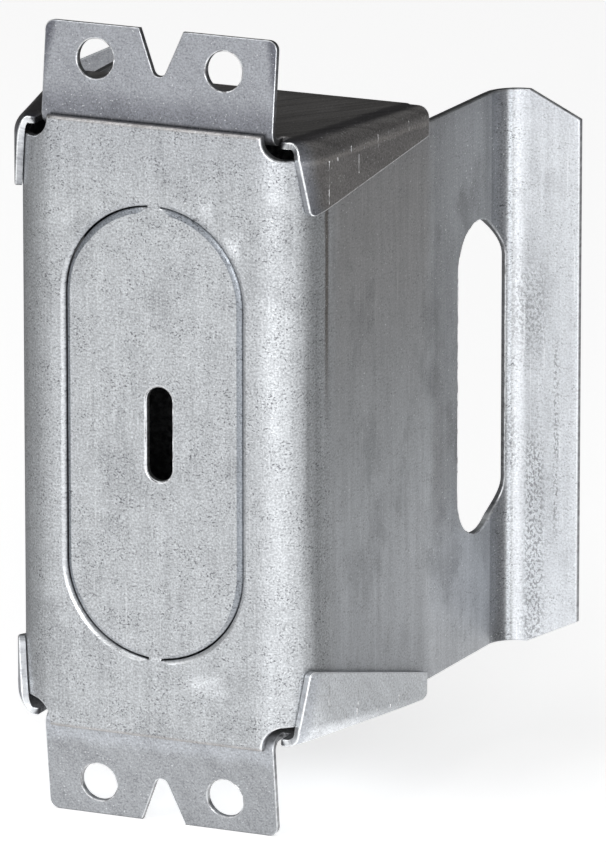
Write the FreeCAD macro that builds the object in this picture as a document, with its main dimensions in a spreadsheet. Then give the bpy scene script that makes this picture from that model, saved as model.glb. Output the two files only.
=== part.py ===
"""Knock-out concrete insert: a flared sheet-steel box with anchor wings, closed by a lapped strap.

Row frame: origin at the centre of the front panel's outer face, +Y into the concrete, +Z up.
The front panel lies against the form, so its outer face is the plane Y = 0 and faces -Y.
All lengths are millimetres and all angles are degrees.
"""
import FreeCAD
import Part
import math
import os

import Sketcher

os.makedirs("parts", exist_ok=True)
DOC = FreeCAD.newDocument("concrete_insert")

# Driving sizes: name, value, what it is.
SIZES = [
    ("sheet", 1.2, "sheet thickness of both pieces"),
    ("panel_flat", 34.0, "flat width of the front panel between its corner bends"),
    ("corner_radius", 9.4, "outer radius of the bends between panel and walls"),
    ("wall_flare", 11.5, "outward slope of the front stretch of the walls"),
    ("kink_depth", 35.6, "depth at which the walls turn nearly parallel"),
    ("kink_radius", 16.0, "outer radius of that gentle turn"),
    ("rear_flare", 2.5, "outward slope of the rear stretch of the walls"),
    ("wing_depth", 64.2, "depth of the wings' front faces"),
    ("wing_radius", 4.8, "hollow radius of the bend from wall to wing"),
    ("overall_width", 93.8, "width over both wing tips"),
    ("tongue_width", 37.8, "width of the panel where it stands above the walls"),
    ("wall_height", 93.6, "height of the walls and wings"),
    ("panel_rise", 4.0, "how far the panel stands above the walls at each end"),
    ("step_radius", 3.5, "hollow radius from the panel's side edge to the wall's edge"),
    ("taper_run", 9.0, "length of the sloped wing ends, measured from the tip"),
    ("taper_drop", 4.3, "height lost by a wing end over that length"),
    ("slot_setback", 16.6, "how far ahead of the wings' front faces the wall slots begin"),
    ("slot_width", 15.0, "wall slot measured along the depth"),
    ("slot_height", 52.6, "wall slot from end to end"),
    ("slug_width", 30.7, "width of the knock-out slug"),
    ("slug_height", 74.7, "height of the knock-out slug"),
    ("shear_gap", 0.35, "open line sheared round the slug"),
    ("bridge_width", 2.2, "width of the bridges that hold the slug"),
    ("slug_set", 0.4, "how far the slug is pushed in behind the panel's face"),
    ("pry_width", 4.4, "width of the pry slot in the slug"),
    ("pry_height", 15.5, "height of the pry slot from end to end"),
    ("pry_offset", 0.8, "distance of the pry slot from the slug's middle"),
    ("cap_front", 1.8, "depth of the cap's front edge beside its flange"),
    ("cap_rear", 34.7, "depth of the cap's rear edge"),
    ("cap_room", 1.9, "clearance between a wall's edge and the end panel of a cap"),
    ("cap_bend", 2.4, "inner radius of the cap's side bends"),
    ("back_bend", 1.2, "inner radius of the bends between end panels and back plate"),
    ("back_gap", 1.6, "clearance between the back plate and the walls' inner faces"),
    ("lap_gap", 0.1, "clearance between a cap's side flap and the wall"),
    ("flap_front", 13.4, "height of the side flap at its front tip"),
    ("flap_rear", 4.8, "height of the side flap at its rear end"),
    ("flap_slant", 2.0, "how far the flap's front edge runs back to its tip"),
    ("flap_tip", 1.8, "radius of the flap's front tip"),
    ("relief_width", 43.2, "width of the opening the flange is bent out of"),
    ("relief_depth", 5.4, "depth at which that opening ends"),
    ("flange_width", 40.6, "width of the nailing flange"),
    ("flange_height", 15.1, "flange height above the panel's edge, along the flange"),
    ("flange_lean", 7.0, "backward lean of the flange"),
    ("flange_bend", 1.2, "inner radius of the flange's bend"),
    ("flange_gap", 0.35, "clearance between the flange and the panel's inner face"),
    ("flange_corner", 1.6, "radius of the flange's outer corners"),
    ("nail_bore", 6.35, "diameter of the nail holes"),
    ("nail_spacing", 22.5, "distance between the two nail holes of a flange"),
    ("nail_rise", 9.4, "height of the nail holes above the panel's edge"),
    ("notch_width", 7.75, "width of the alignment notch at the flange's edge"),
    ("notch_depth", 7.5, "depth of the alignment notch"),
    ("notch_root", 1.2, "radius at the root of the alignment notch"),
]

SHEET = DOC.addObject("Spreadsheet::Sheet", "sizes")
VALUE = {}
for row, (alias, number, meaning) in enumerate(SIZES, start=1):
    SHEET.set("A%d" % row, str(number))
    SHEET.set("B%d" % row, meaning)
    SHEET.setAlias("A%d" % row, alias)
    VALUE[alias] = float(number)
DOC.recompute()


class Outline:
    """A sketch on one of a body's own planes, with every size bound to the sheet."""

    def __init__(self, body, name, role, offset=None):
        self.sketch = body.newObject("Sketcher::SketchObject", name)
        plane = [f for f in body.Origin.OriginFeatures if f.Role == role][0]
        self.sketch.AttachmentSupport = [(plane, "")]
        self.sketch.MapMode = "FlatFace"
        if offset is not None:
            self.sketch.setExpression("AttachmentOffset.Base.z", offset)

    def line(self, start, end):
        a = FreeCAD.Vector(start[0], start[1], 0)
        b = FreeCAD.Vector(end[0], end[1], 0)
        return self.sketch.addGeometry(Part.LineSegment(a, b), False)

    def arc(self, centre, radius, first, last):
        c = FreeCAD.Vector(centre[0], centre[1], 0)
        circle = Part.Circle(c, FreeCAD.Vector(0, 0, 1), radius)
        curve = Part.ArcOfCircle(circle, math.radians(first), math.radians(last))
        return self.sketch.addGeometry(curve, False)

    def circle(self, centre, radius):
        c = FreeCAD.Vector(centre[0], centre[1], 0)
        return self.sketch.addGeometry(Part.Circle(c, FreeCAD.Vector(0, 0, 1), radius), False)

    def rule(self, kind, *where):
        return self.sketch.addConstraint(Sketcher.Constraint(kind, *where))

    def size(self, name, formula, kind, *where):
        index = self.sketch.addConstraint(Sketcher.Constraint(kind, *where))
        self.sketch.renameConstraint(index, name)
        self.sketch.setExpression("Constraints." + name, formula)
        return index

    def join(self, *ends):
        """Close a chain of (curve, end, curve, end) corners."""
        for one, p, two, q in ends:
            self.rule("Coincident", one, p, two, q)

    def smooth(self, *ends):
        """Join curves end to end so that they run on without a corner."""
        for one, p, two, q in ends:
            self.rule("Tangent", one, p, two, q)


def plane_of(body, role):
    return [f for f in body.Origin.OriginFeatures if f.Role == role][0]


def two_sided(feature, formula):
    """Run a pad or pocket the same way to both sides of its sketch."""
    feature.SideType = "Symmetric"
    feature.setExpression("Length", formula)


def mirrored(body, name, originals, role):
    feature = body.newObject("PartDesign::Mirrored", name)
    feature.Originals = originals
    feature.MirrorPlane = (plane_of(body, role), [""])
    body.Tip = feature
    return feature


def obround(outline, prefix, centre, width, height, width_rule, height_rule, x_rule=None):
    """An upright slot with round ends: two side lines and two half circles."""
    r = width / 2
    s = height / 2 - r
    x, z = centre
    top = outline.arc((x, z + s), r, 0, 180)
    left = outline.line((x - r, z + s), (x - r, z - s))
    low = outline.arc((x, z - s), r, 180, 360)
    right = outline.line((x + r, z - s), (x + r, z + s))
    outline.smooth((top, 2, left, 1), (left, 2, low, 1), (low, 2, right, 1), (right, 2, top, 1))
    outline.rule("Vertical", left)
    outline.size(prefix + "_radius", "(%s) / 2" % width_rule, "Radius", top, r)
    outline.size(prefix + "_top", "(%s) / 2 - (%s) / 2" % (height_rule, width_rule), "DistanceY", top, 3, s)
    outline.rule("Symmetric", top, 3, low, 3, -1)
    if x_rule is None:
        outline.rule("PointOnObject", top, 3, -2)
    else:
        outline.size(prefix + "_centre", x_rule, "DistanceX", top, 3, x)


# Plain values used to lay the curves out before their sizes are bound.
t = VALUE["sheet"]
a = VALUE["panel_flat"] / 2
rc = VALUE["corner_radius"]
rk = VALUE["kink_radius"]
rw = VALUE["wing_radius"]
beta = math.radians(VALUE["wall_flare"])
phi = math.radians(VALUE["rear_flare"])
half_wall = VALUE["wall_height"] / 2
half_panel = half_wall + VALUE["panel_rise"]
roof_z = half_wall + VALUE["cap_room"] + t
slot_front = VALUE["wing_depth"] - VALUE["slot_setback"]
tip = VALUE["overall_width"] / 2
wing = VALUE["wing_depth"]

# Heights and depths that follow from the walls and the wings.
PANEL_TOP = "(sizes.wall_height / 2 + sizes.panel_rise)"
CAP_TOP = "(sizes.wall_height / 2 + sizes.cap_room + sizes.sheet)"
SLOT_FRONT = "(sizes.wing_depth - sizes.slot_setback)"

# Insert body: half of the bent sheet seen from above, padded over its height and mirrored.
body = DOC.addObject("PartDesign::Body", "insert_body")
body.Label = "insert_body"

plan = Outline(body, "body_plan", "XY_Plane")
corner = (a + rc * math.cos(beta), rc - rc * math.sin(beta))
corner_in = (a + (rc - t) * math.cos(beta), rc - (rc - t) * math.sin(beta))
kink = (corner[0] + (VALUE["kink_depth"] - corner[1]) * math.tan(beta), VALUE["kink_depth"])
turn = (kink[0] - rk * math.cos(beta), kink[1] + rk * math.sin(beta))
after = (turn[0] + rk * math.cos(phi), turn[1] - rk * math.sin(phi))
kink_in = (turn[0] + (rk - t) * math.cos(beta), turn[1] - (rk - t) * math.sin(beta))
after_in = (turn[0] + (rk - t) * math.cos(phi), turn[1] - (rk - t) * math.sin(phi))
hub_y = wing - rw
bend = (after[0] + (hub_y + rw * math.sin(phi) - after[1]) * math.tan(phi), hub_y + rw * math.sin(phi))
hub = (bend[0] + rw * math.cos(phi), hub_y)
bend_in = (hub[0] - (rw + t) * math.cos(phi), hub[1] + (rw + t) * math.sin(phi))

front = plan.line((0, 0), (a, 0))
turn_out = plan.arc((a, rc), rc, -90, -VALUE["wall_flare"])
wall_out = plan.line(corner, kink)
kink_out = plan.arc(turn, rk, -VALUE["wall_flare"], -VALUE["rear_flare"])
rear_out = plan.line(after, bend)
wing_bend = plan.arc(hub, rw, 90, 180 - VALUE["rear_flare"])
wing_front = plan.line((hub[0], wing), (tip, wing))
wing_end = plan.line((tip, wing), (tip, wing + t))
wing_back = plan.line((tip, wing + t), (hub[0], wing + t))
wing_back_bend = plan.arc(hub, rw + t, 90, 180 - VALUE["rear_flare"])
rear_in = plan.line(bend_in, after_in)
kink_back = plan.arc(turn, rk - t, -VALUE["wall_flare"], -VALUE["rear_flare"])
wall_in = plan.line(kink_in, corner_in)
turn_in = plan.arc((a, rc), rc - t, -90, -VALUE["wall_flare"])
back = plan.line((a, t), (0, t))
middle = plan.line((0, t), (0, 0))

plan.join((front, 1, -1, 1), (wing_front, 2, wing_end, 1), (wing_end, 2, wing_back, 1))
plan.join((back, 2, middle, 1), (middle, 2, front, 1))
plan.smooth((front, 2, turn_out, 1), (turn_out, 2, wall_out, 1), (wall_out, 2, kink_out, 1))
plan.smooth((kink_out, 2, rear_out, 1), (rear_out, 2, wing_bend, 2), (wing_bend, 1, wing_front, 1))
plan.smooth((wing_back, 2, wing_back_bend, 1), (wing_back_bend, 2, rear_in, 1), (rear_in, 2, kink_back, 2))
plan.smooth((kink_back, 1, wall_in, 1), (wall_in, 2, turn_in, 2), (turn_in, 1, back, 1))
plan.join((wing_back_bend, 3, wing_bend, 3), (kink_back, 3, kink_out, 3), (turn_in, 3, turn_out, 3))
for flat in (front, wing_front, wing_back, back):
    plan.rule("Horizontal", flat)
plan.rule("Vertical", wing_end)
plan.rule("Vertical", middle)
plan.rule("Parallel", wall_in, wall_out)
plan.rule("Parallel", rear_in, rear_out)
plan.size("half_flat", "sizes.panel_flat / 2", "DistanceX", front, 1, front, 2, a)
plan.size("corner_turn", "sizes.corner_radius", "Radius", turn_out, rc)
plan.size("kink_turn", "sizes.kink_radius", "Radius", kink_out, rk)
plan.size("wing_turn", "sizes.wing_radius", "Radius", wing_bend, rw)
plan.size("front_slope", "(90 - sizes.wall_flare) * 1 deg", "Angle", wall_out, math.pi / 2 - beta)
plan.size("rear_slope", "(90 - sizes.rear_flare) * 1 deg", "Angle", rear_out, math.pi / 2 - phi)
plan.size("kink_at", "sizes.kink_depth", "DistanceY", wall_out, 2, kink[1])
plan.size("wing_at", "sizes.wing_depth", "DistanceY", wing_front, 2, wing)
plan.size("wing_tip", "sizes.overall_width / 2", "DistanceX", wing_front, 2, tip)
plan.size("wing_sheet", "sizes.sheet", "DistanceY", wing_end, 1, wing_end, 2, t)

half = body.newObject("PartDesign::Pad", "half_shell")
half.Profile = plan.sketch
two_sided(half, "2 * " + PANEL_TOP)
body.Tip = half
DOC.recompute()
shell = mirrored(body, "whole_shell", [half], "YZ_Plane")

# Walls and wings stand lower than the panel, and the wing ends slope.
trim = Outline(body, "edge_trim_outline", "XZ_Plane")
xs = VALUE["tongue_width"] / 2
rs = VALUE["step_radius"]
run = VALUE["taper_run"]
drop = VALUE["taper_drop"]
high = half_panel + 3
side = trim.line((xs, high), (xs, half_wall + rs))
round_in = trim.arc((xs + rs, half_wall + rs), rs, 180, 270)
level = trim.line((xs + rs, half_wall), (tip - run, half_wall))
slope = trim.line((tip - run, half_wall), (tip, half_wall - drop))
below = trim.line((tip, half_wall - drop), (tip + 3, half_wall - drop))
outer = trim.line((tip + 3, half_wall - drop), (tip + 3, high))
over = trim.line((tip + 3, high), (xs, high))
trim.smooth((side, 2, round_in, 1), (round_in, 2, level, 1))
trim.join((level, 2, slope, 1), (slope, 2, below, 1), (below, 2, outer, 1))
trim.join((outer, 2, over, 1), (over, 2, side, 1))
for upright in (side, outer):
    trim.rule("Vertical", upright)
for flat in (level, below, over):
    trim.rule("Horizontal", flat)
trim.size("tongue_side", "sizes.tongue_width / 2", "DistanceX", side, 1, xs)
trim.size("over_panel", PANEL_TOP + " + 3", "DistanceY", side, 1, high)
trim.size("step_turn", "sizes.step_radius", "Radius", round_in, rs)
trim.size("wall_edge", "sizes.wall_height / 2", "DistanceY", level, 2, half_wall)
trim.size("slope_from", "sizes.overall_width / 2 - sizes.taper_run", "DistanceX", level, 2, tip - run)
trim.size("slope_to", "sizes.overall_width / 2", "DistanceX", slope, 2, tip)
trim.size("slope_down", "sizes.taper_drop", "DistanceY", slope, 2, slope, 1, drop)
trim.size("past_tip", "3", "DistanceX", below, 1, below, 2, 3)

edge_trim = body.newObject("PartDesign::Pocket", "edge_trim")
edge_trim.Profile = trim.sketch
two_sided(edge_trim, "4 * sizes.wing_depth")
body.Tip = edge_trim
DOC.recompute()
all_trims = body.newObject("PartDesign::MultiTransform", "edge_trims")
across = body.newObject("PartDesign::Mirrored", "edge_trim_across")
across.MirrorPlane = (plane_of(body, "YZ_Plane"), [""])
down = body.newObject("PartDesign::Mirrored", "edge_trim_down")
down.MirrorPlane = (plane_of(body, "XY_Plane"), [""])
all_trims.Originals = [edge_trim]
all_trims.Transformations = [across, down]
body.Tip = all_trims
DOC.recompute()

# Concrete keys through a round-ended slot in each wall, which reaches into the wing's bend.
keyway = Outline(body, "wall_slot_outline", "YZ_Plane")
obround(
    keyway, "slot", (slot_front + VALUE["slot_width"] / 2, 0),
    VALUE["slot_width"], VALUE["slot_height"], "sizes.slot_width", "sizes.slot_height",
    SLOT_FRONT + " + sizes.slot_width / 2",
)
wall_slots = body.newObject("PartDesign::Pocket", "wall_slots")
wall_slots.Profile = keyway.sketch
two_sided(wall_slots, "2 * sizes.overall_width")
body.Tip = wall_slots
DOC.recompute()

# Knock-out: a sheared line round the slug, broken by a bridge at its top and at its bottom.
ring = Outline(body, "shear_line_outline", "XZ_Plane")
ri = VALUE["slug_width"] / 2
ro = ri + VALUE["shear_gap"]
hs = VALUE["slug_height"] / 2 - ri
hb = VALUE["bridge_width"] / 2
ao = math.degrees(math.acos(hb / ro))
ai = math.degrees(math.acos(hb / ri))
zo = hs + math.sqrt(ro * ro - hb * hb)
zi = hs + math.sqrt(ri * ri - hb * hb)
top_out = ring.arc((0, hs), ro, 0, ao)
top_bridge = ring.line((hb, zo), (hb, zi))
top_in = ring.arc((0, hs), ri, 0, ai)
side_in = ring.line((ri, hs), (ri, -hs))
low_in = ring.arc((0, -hs), ri, -ai, 0)
low_bridge = ring.line((hb, -zi), (hb, -zo))
low_out = ring.arc((0, -hs), ro, -ao, 0)
side_out = ring.line((ro, -hs), (ro, hs))
ring.join((top_out, 2, top_bridge, 1), (top_bridge, 2, top_in, 2))
ring.join((low_in, 1, low_bridge, 1), (low_bridge, 2, low_out, 1))
ring.smooth((top_in, 1, side_in, 1), (side_in, 2, low_in, 2))
ring.smooth((low_out, 2, side_out, 1), (side_out, 2, top_out, 1))
ring.join((top_out, 3, top_in, 3), (low_out, 3, low_in, 3))
ring.rule("PointOnObject", top_in, 3, -2)
ring.rule("Symmetric", top_in, 3, low_in, 3, -1)
ring.rule("Vertical", side_in)
ring.rule("Equal", top_out, low_out)
ring.rule("Vertical", top_bridge)
ring.rule("Vertical", low_bridge)
ring.size("slug_turn", "sizes.slug_width / 2", "Radius", top_in, ri)
ring.size("line_turn", "sizes.slug_width / 2 + sizes.shear_gap", "Radius", top_out, ro)
ring.size("slug_top", "(sizes.slug_height - sizes.slug_width) / 2", "DistanceY", top_in, 3, hs)
ring.size("bridge_top", "sizes.bridge_width / 2", "DistanceX", top_bridge, 1, hb)
ring.size("bridge_low", "sizes.bridge_width / 2", "DistanceX", low_bridge, 1, hb)
shear_line = body.newObject("PartDesign::Pocket", "shear_line")
shear_line.Profile = ring.sketch
two_sided(shear_line, "4 * sizes.sheet")
body.Tip = shear_line
DOC.recompute()
mirrored(body, "shear_lines", [shear_line], "YZ_Plane")
DOC.recompute()

# The slug is pushed in: its face is lower than the panel's, and its back stands out by as much.
sunk = Outline(body, "slug_face_outline", "XZ_Plane")
obround(sunk, "face", (0, 0), 2 * ri, 2 * (hs + ri), "sizes.slug_width", "sizes.slug_height")
slug_face = body.newObject("PartDesign::Pocket", "slug_face")
slug_face.Profile = sunk.sketch
slug_face.setExpression("Length", "sizes.slug_set")
body.Tip = slug_face
DOC.recompute()
raised = Outline(body, "slug_back_outline", "XZ_Plane", "-sizes.sheet")
obround(raised, "back", (0, 0), 2 * ri, 2 * (hs + ri), "sizes.slug_width", "sizes.slug_height")
slug_back = body.newObject("PartDesign::Pad", "slug_back")
slug_back.Profile = raised.sketch
slug_back.Reversed = True
slug_back.setExpression("Length", "sizes.slug_set")
body.Tip = slug_back
DOC.recompute()

pry = Outline(body, "pry_slot_outline", "XZ_Plane")
obround(
    pry, "pry", (VALUE["pry_offset"], 0), VALUE["pry_width"], VALUE["pry_height"],
    "sizes.pry_width", "sizes.pry_height", "sizes.pry_offset",
)
pry_slot = body.newObject("PartDesign::Pocket", "pry_slot")
pry_slot.Profile = pry.sketch
two_sided(pry_slot, "8 * sizes.sheet")
body.Tip = pry_slot
DOC.recompute()

# Closing strap, upper half: a tray that caps the end and laps both walls, with the nailing flange bent up
# at its front and the back plate bent down at its rear.
cap = DOC.addObject("PartDesign::Body", "strap_upper_half")
cap.Label = "strap_upper_half"
FLARE = "sizes.wall_flare * 1 deg"
FLAP = "sizes.panel_flat / 2 * cos({0}) + sizes.corner_radius * (1 - sin({0})) + sizes.lap_gap".format(FLARE)
FLOOR = PANEL_TOP + " - sizes.flap_front - 3"

# One side of the tray is a bent strip, drawn square to the flared wall that it runs along. Its roof reaches
# past the middle plane, so that it meets its mirror image all the way back.
strip = Outline(cap, "tray_section", "XZ_Plane")
strip.sketch.AttachmentOffset = FreeCAD.Placement(
    FreeCAD.Vector(0, 0, 0), FreeCAD.Rotation(FreeCAD.Vector(0, -1, 0), VALUE["wall_flare"])
)
strip.sketch.setExpression("AttachmentOffset.Rotation.Angle", FLARE)
xi = a * math.cos(beta) + rc * (1 - math.sin(beta)) + VALUE["lap_gap"]
xm = -(VALUE["cap_rear"] + 6) * math.sin(beta)
rb = VALUE["cap_bend"]
low = half_panel - VALUE["flap_front"] - 3
c = (xi - rb, roof_z - t - rb)
roof = strip.line((xm, roof_z), (c[0], roof_z))
bend_out = strip.arc(c, rb + t, 0, 90)
flap_out = strip.line((xi + t, c[1]), (xi + t, low))
foot = strip.line((xi + t, low), (xi, low))
flap_in = strip.line((xi, low), (xi, c[1]))
bend_under = strip.arc(c, rb, 0, 90)
ceiling = strip.line((c[0], roof_z - t), (xm, roof_z - t))
past = strip.line((xm, roof_z - t), (xm, roof_z))
strip.smooth((roof, 2, bend_out, 2), (bend_out, 1, flap_out, 1))
strip.smooth((flap_in, 2, bend_under, 1), (bend_under, 2, ceiling, 1))
strip.join((flap_out, 2, foot, 1), (foot, 2, flap_in, 1), (ceiling, 2, past, 1), (past, 2, roof, 1))
strip.join((bend_out, 3, bend_under, 3))
for flat in (roof, foot, ceiling):
    strip.rule("Horizontal", flat)
for upright in (flap_out, flap_in, past):
    strip.rule("Vertical", upright)
strip.size("roof_height", CAP_TOP, "DistanceY", roof, 1, roof_z)
strip.size("roof_sheet", "sizes.sheet", "DistanceY", past, 1, past, 2, t)
strip.size("side_bend", "sizes.cap_bend", "Radius", bend_under, rb)
strip.size("flap_side", FLAP, "DistanceX", flap_in, 1, xi)
strip.size("flap_low", FLOOR, "DistanceY", flap_in, 1, low)
strip.size("past_middle", "(sizes.cap_rear + 6) * sin(%s)" % FLARE, "DistanceX", past, 1, -1, 1, -xm)
tray = cap.newObject("PartDesign::Pad", "half_tray")
tray.Profile = strip.sketch
two_sided(tray, "4 * sizes.cap_rear")
cap.Tip = tray
DOC.recompute()
mirrored(cap, "whole_tray", [tray], "YZ_Plane")
DOC.recompute()

# Both ends of the tray are cut square to the depth.
ends = Outline(cap, "tray_ends_outline", "XY_Plane")
wide = VALUE["overall_width"]
long = 4 * VALUE["cap_rear"]
for name, near, far, rule in (
    ("front", VALUE["cap_front"], VALUE["cap_front"] - long, "sizes.cap_front"),
    ("rear", VALUE["cap_rear"], VALUE["cap_rear"] + long, "sizes.cap_rear"),
):
    e0 = ends.line((-wide, near), (wide, near))
    e1 = ends.line((wide, near), (wide, far))
    e2 = ends.line((wide, far), (-wide, far))
    e3 = ends.line((-wide, far), (-wide, near))
    ends.join((e0, 2, e1, 1), (e1, 2, e2, 1), (e2, 2, e3, 1), (e3, 2, e0, 1))
    ends.rule("Horizontal", e2)
    ends.rule("Vertical", e1)
    ends.rule("Vertical", e3)
    ends.rule("Symmetric", e0, 1, e0, 2, -2)
    ends.size(name + "_edge", rule, "DistanceY", e0, 2, near)
    ends.size(name + "_side", "sizes.overall_width", "DistanceX", e0, 2, wide)
    first, second = (1, 2) if far > near else (2, 1)
    ends.size(name + "_reach", "4 * sizes.cap_rear", "DistanceY", e1, first, e1, second, long)
tray_ends = cap.newObject("PartDesign::Pocket", "tray_ends")
tray_ends.Profile = ends.sketch
two_sided(tray_ends, "4 * " + PANEL_TOP)
cap.Tip = tray_ends
DOC.recompute()

# The flange is bent out of an opening in the end panel's front edge, a little wider than itself.
gap = Outline(cap, "flange_relief_outline", "XY_Plane")
hw = VALUE["relief_width"] / 2
y0 = VALUE["cap_front"] - 1
y1 = VALUE["relief_depth"]
g0 = gap.line((-hw, y0), (hw, y0))
g1 = gap.line((hw, y0), (hw, y1))
g2 = gap.line((hw, y1), (-hw, y1))
g3 = gap.line((-hw, y1), (-hw, y0))
gap.join((g0, 2, g1, 1), (g1, 2, g2, 1), (g2, 2, g3, 1), (g3, 2, g0, 1))
gap.rule("Horizontal", g0)
for upright in (g1, g3):
    gap.rule("Vertical", upright)
gap.rule("Symmetric", g2, 1, g2, 2, -2)
gap.size("relief_side", "sizes.relief_width / 2", "DistanceX", g1, 1, hw)
gap.size("relief_from", "sizes.cap_front - 1", "DistanceY", g0, 1, y0)
gap.size("relief_to", "sizes.relief_depth", "DistanceY", g2, 1, y1)
relief = cap.newObject("PartDesign::Pocket", "flange_relief")
relief.Profile = gap.sketch
two_sided(relief, "4 * " + PANEL_TOP)
cap.Tip = relief
DOC.recompute()

# Side view of the back plate: the end panel's rear edge, the bend, and the plate down to the middle plane.
rp = VALUE["back_bend"]
hub_back = VALUE["cap_rear"]
hub_up = roof_z - t - rp
lap = VALUE["cap_rear"] - 0.5
fold = Outline(cap, "back_plate_side_view", "YZ_Plane")
b_start = fold.line((lap, roof_z - t), (lap, roof_z))
b_over = fold.line((lap, roof_z), (hub_back, roof_z))
b_out = fold.arc((hub_back, hub_up), rp + t, 0, 90)
b_rear = fold.line((hub_back + rp + t, hub_up), (hub_back + rp + t, 0))
b_middle = fold.line((hub_back + rp + t, 0), (hub_back + rp, 0))
b_front = fold.line((hub_back + rp, 0), (hub_back + rp, hub_up))
b_in = fold.arc((hub_back, hub_up), rp, 0, 90)
b_under = fold.line((hub_back, roof_z - t), (lap, roof_z - t))
fold.join((b_start, 2, b_over, 1), (b_under, 2, b_start, 1))
fold.join((b_rear, 2, b_middle, 1), (b_middle, 2, b_front, 1))
fold.smooth((b_over, 2, b_out, 2), (b_out, 1, b_rear, 1), (b_front, 2, b_in, 1), (b_in, 2, b_under, 1))
fold.join((b_out, 3, b_in, 3))
for upright in (b_start, b_rear, b_front):
    fold.rule("Vertical", upright)
for flat in (b_over, b_under):
    fold.rule("Horizontal", flat)
fold.rule("PointOnObject", b_middle, 1, -1)
fold.rule("PointOnObject", b_middle, 2, -1)
fold.size("fold_from", "sizes.cap_rear - 0.5", "DistanceX", b_start, 1, lap)
fold.size("fold_at", "sizes.cap_rear", "DistanceX", b_over, 2, hub_back)
fold.size("fold_top", CAP_TOP, "DistanceY", b_over, 1, roof_z)
fold.size("fold_turn", "sizes.back_bend", "Radius", b_in, rp)
fold.size("fold_sheet", "sizes.back_bend + sizes.sheet", "Radius", b_out, rp + t)
BACK_HALF = (
    "(sizes.panel_flat / 2 + (sizes.corner_radius - sizes.sheet) / cos({0})"
    " + (sizes.cap_rear + sizes.back_bend - sizes.corner_radius) * tan({0}) - sizes.back_gap)"
).format(FLARE)
back_plate = cap.newObject("PartDesign::Pad", "back_plate")
back_plate.Profile = fold.sketch
two_sided(back_plate, "2 * " + BACK_HALF)
cap.Tip = back_plate
DOC.recompute()

# Side view of the flange: a short leg of the end panel, the bend, and the leaning flange.
lean = math.radians(VALUE["flange_lean"])
rf = VALUE["flange_bend"]
reach = rf + t
face = t + VALUE["flange_gap"]
peak = (face + VALUE["flange_height"] * math.sin(lean), half_panel + VALUE["flange_height"] * math.cos(lean))
away = (math.cos(lean), -math.sin(lean))
leg_low = roof_z - t
# The bend's centre stands at the outer radius from the flange's front face and from the leg's underside.
pin_z = leg_low + reach
pin = (peak[0] + reach * away[0] - (peak[1] + reach * away[1] - pin_z) * math.tan(lean), pin_z)
first = 180 - VALUE["flange_lean"]
last = 270


def rim(radius, angle):
    return (pin[0] + radius * math.cos(math.radians(angle)), pin[1] + radius * math.sin(math.radians(angle)))


PEAK = PANEL_TOP + " + sizes.flange_height * cos(sizes.flange_lean * 1 deg)"
BACK = "sizes.sheet + sizes.flange_gap + sizes.flange_height * sin(sizes.flange_lean * 1 deg)"
hook = Outline(cap, "flange_side_view", "YZ_Plane")
f_front = hook.line(peak, rim(reach, first))
f_out = hook.arc(pin, reach, first, last)
f_under = hook.line(rim(reach, last), (y1, leg_low))
f_end = hook.line((y1, leg_low), (y1, roof_z))
f_over = hook.line((y1, roof_z), rim(rf, last))
f_in = hook.arc(pin, rf, first, last)
f_back = hook.line(rim(rf, first), (peak[0] + t * away[0], peak[1] + t * away[1]))
f_top = hook.line((peak[0] + t * away[0], peak[1] + t * away[1]), peak)
hook.smooth((f_front, 2, f_out, 1), (f_out, 2, f_under, 1), (f_over, 2, f_in, 2), (f_in, 1, f_back, 1))
hook.join((f_under, 2, f_end, 1), (f_end, 2, f_over, 1), (f_back, 2, f_top, 1), (f_top, 2, f_front, 1))
hook.join((f_out, 3, f_in, 3))
hook.rule("Vertical", f_end)
hook.rule("Horizontal", f_under)
hook.rule("Horizontal", f_over)
hook.rule("Parallel", f_front, f_back)
hook.rule("Perpendicular", f_top, f_front)
hook.size("bend_turn", "sizes.flange_bend", "Radius", f_in, rf)
hook.size("bend_outer", "sizes.flange_bend + sizes.sheet", "Radius", f_out, reach)
hook.size("leg_depth", "sizes.relief_depth", "DistanceX", f_end, 2, y1)
hook.size("leg_height", CAP_TOP, "DistanceY", f_end, 2, roof_z)
hook.size("peak_rise", PEAK, "DistanceY", f_top, 2, peak[1])
hook.size("peak_depth", BACK, "DistanceX", f_top, 2, peak[0])
hook.size("lean_angle", "(90 - sizes.flange_lean) * 1 deg", "Angle", f_back, math.pi / 2 - lean)
flange = cap.newObject("PartDesign::Pad", "nailing_flange")
flange.Profile = hook.sketch
two_sided(flange, "sizes.flange_width")
cap.Tip = flange
DOC.recompute()

corners = []
for number, edge in enumerate(flange.Shape.Edges, start=1):
    ends = [v.Point for v in edge.Vertexes]
    high_up = all(p.z > peak[1] - 2 * t * math.sin(lean) - 0.05 for p in ends)
    at_side = all(abs(abs(p.x) - VALUE["flange_width"] / 2) < 0.01 for p in ends)
    if len(ends) == 2 and high_up and at_side and ends[0].x * ends[1].x > 0:
        corners.append("Edge%d" % number)
rounding = cap.newObject("PartDesign::Fillet", "flange_corners")
rounding.Base = (flange, corners)
rounding.setExpression("Radius", "sizes.flange_corner")
cap.Tip = rounding
DOC.recompute()

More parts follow.
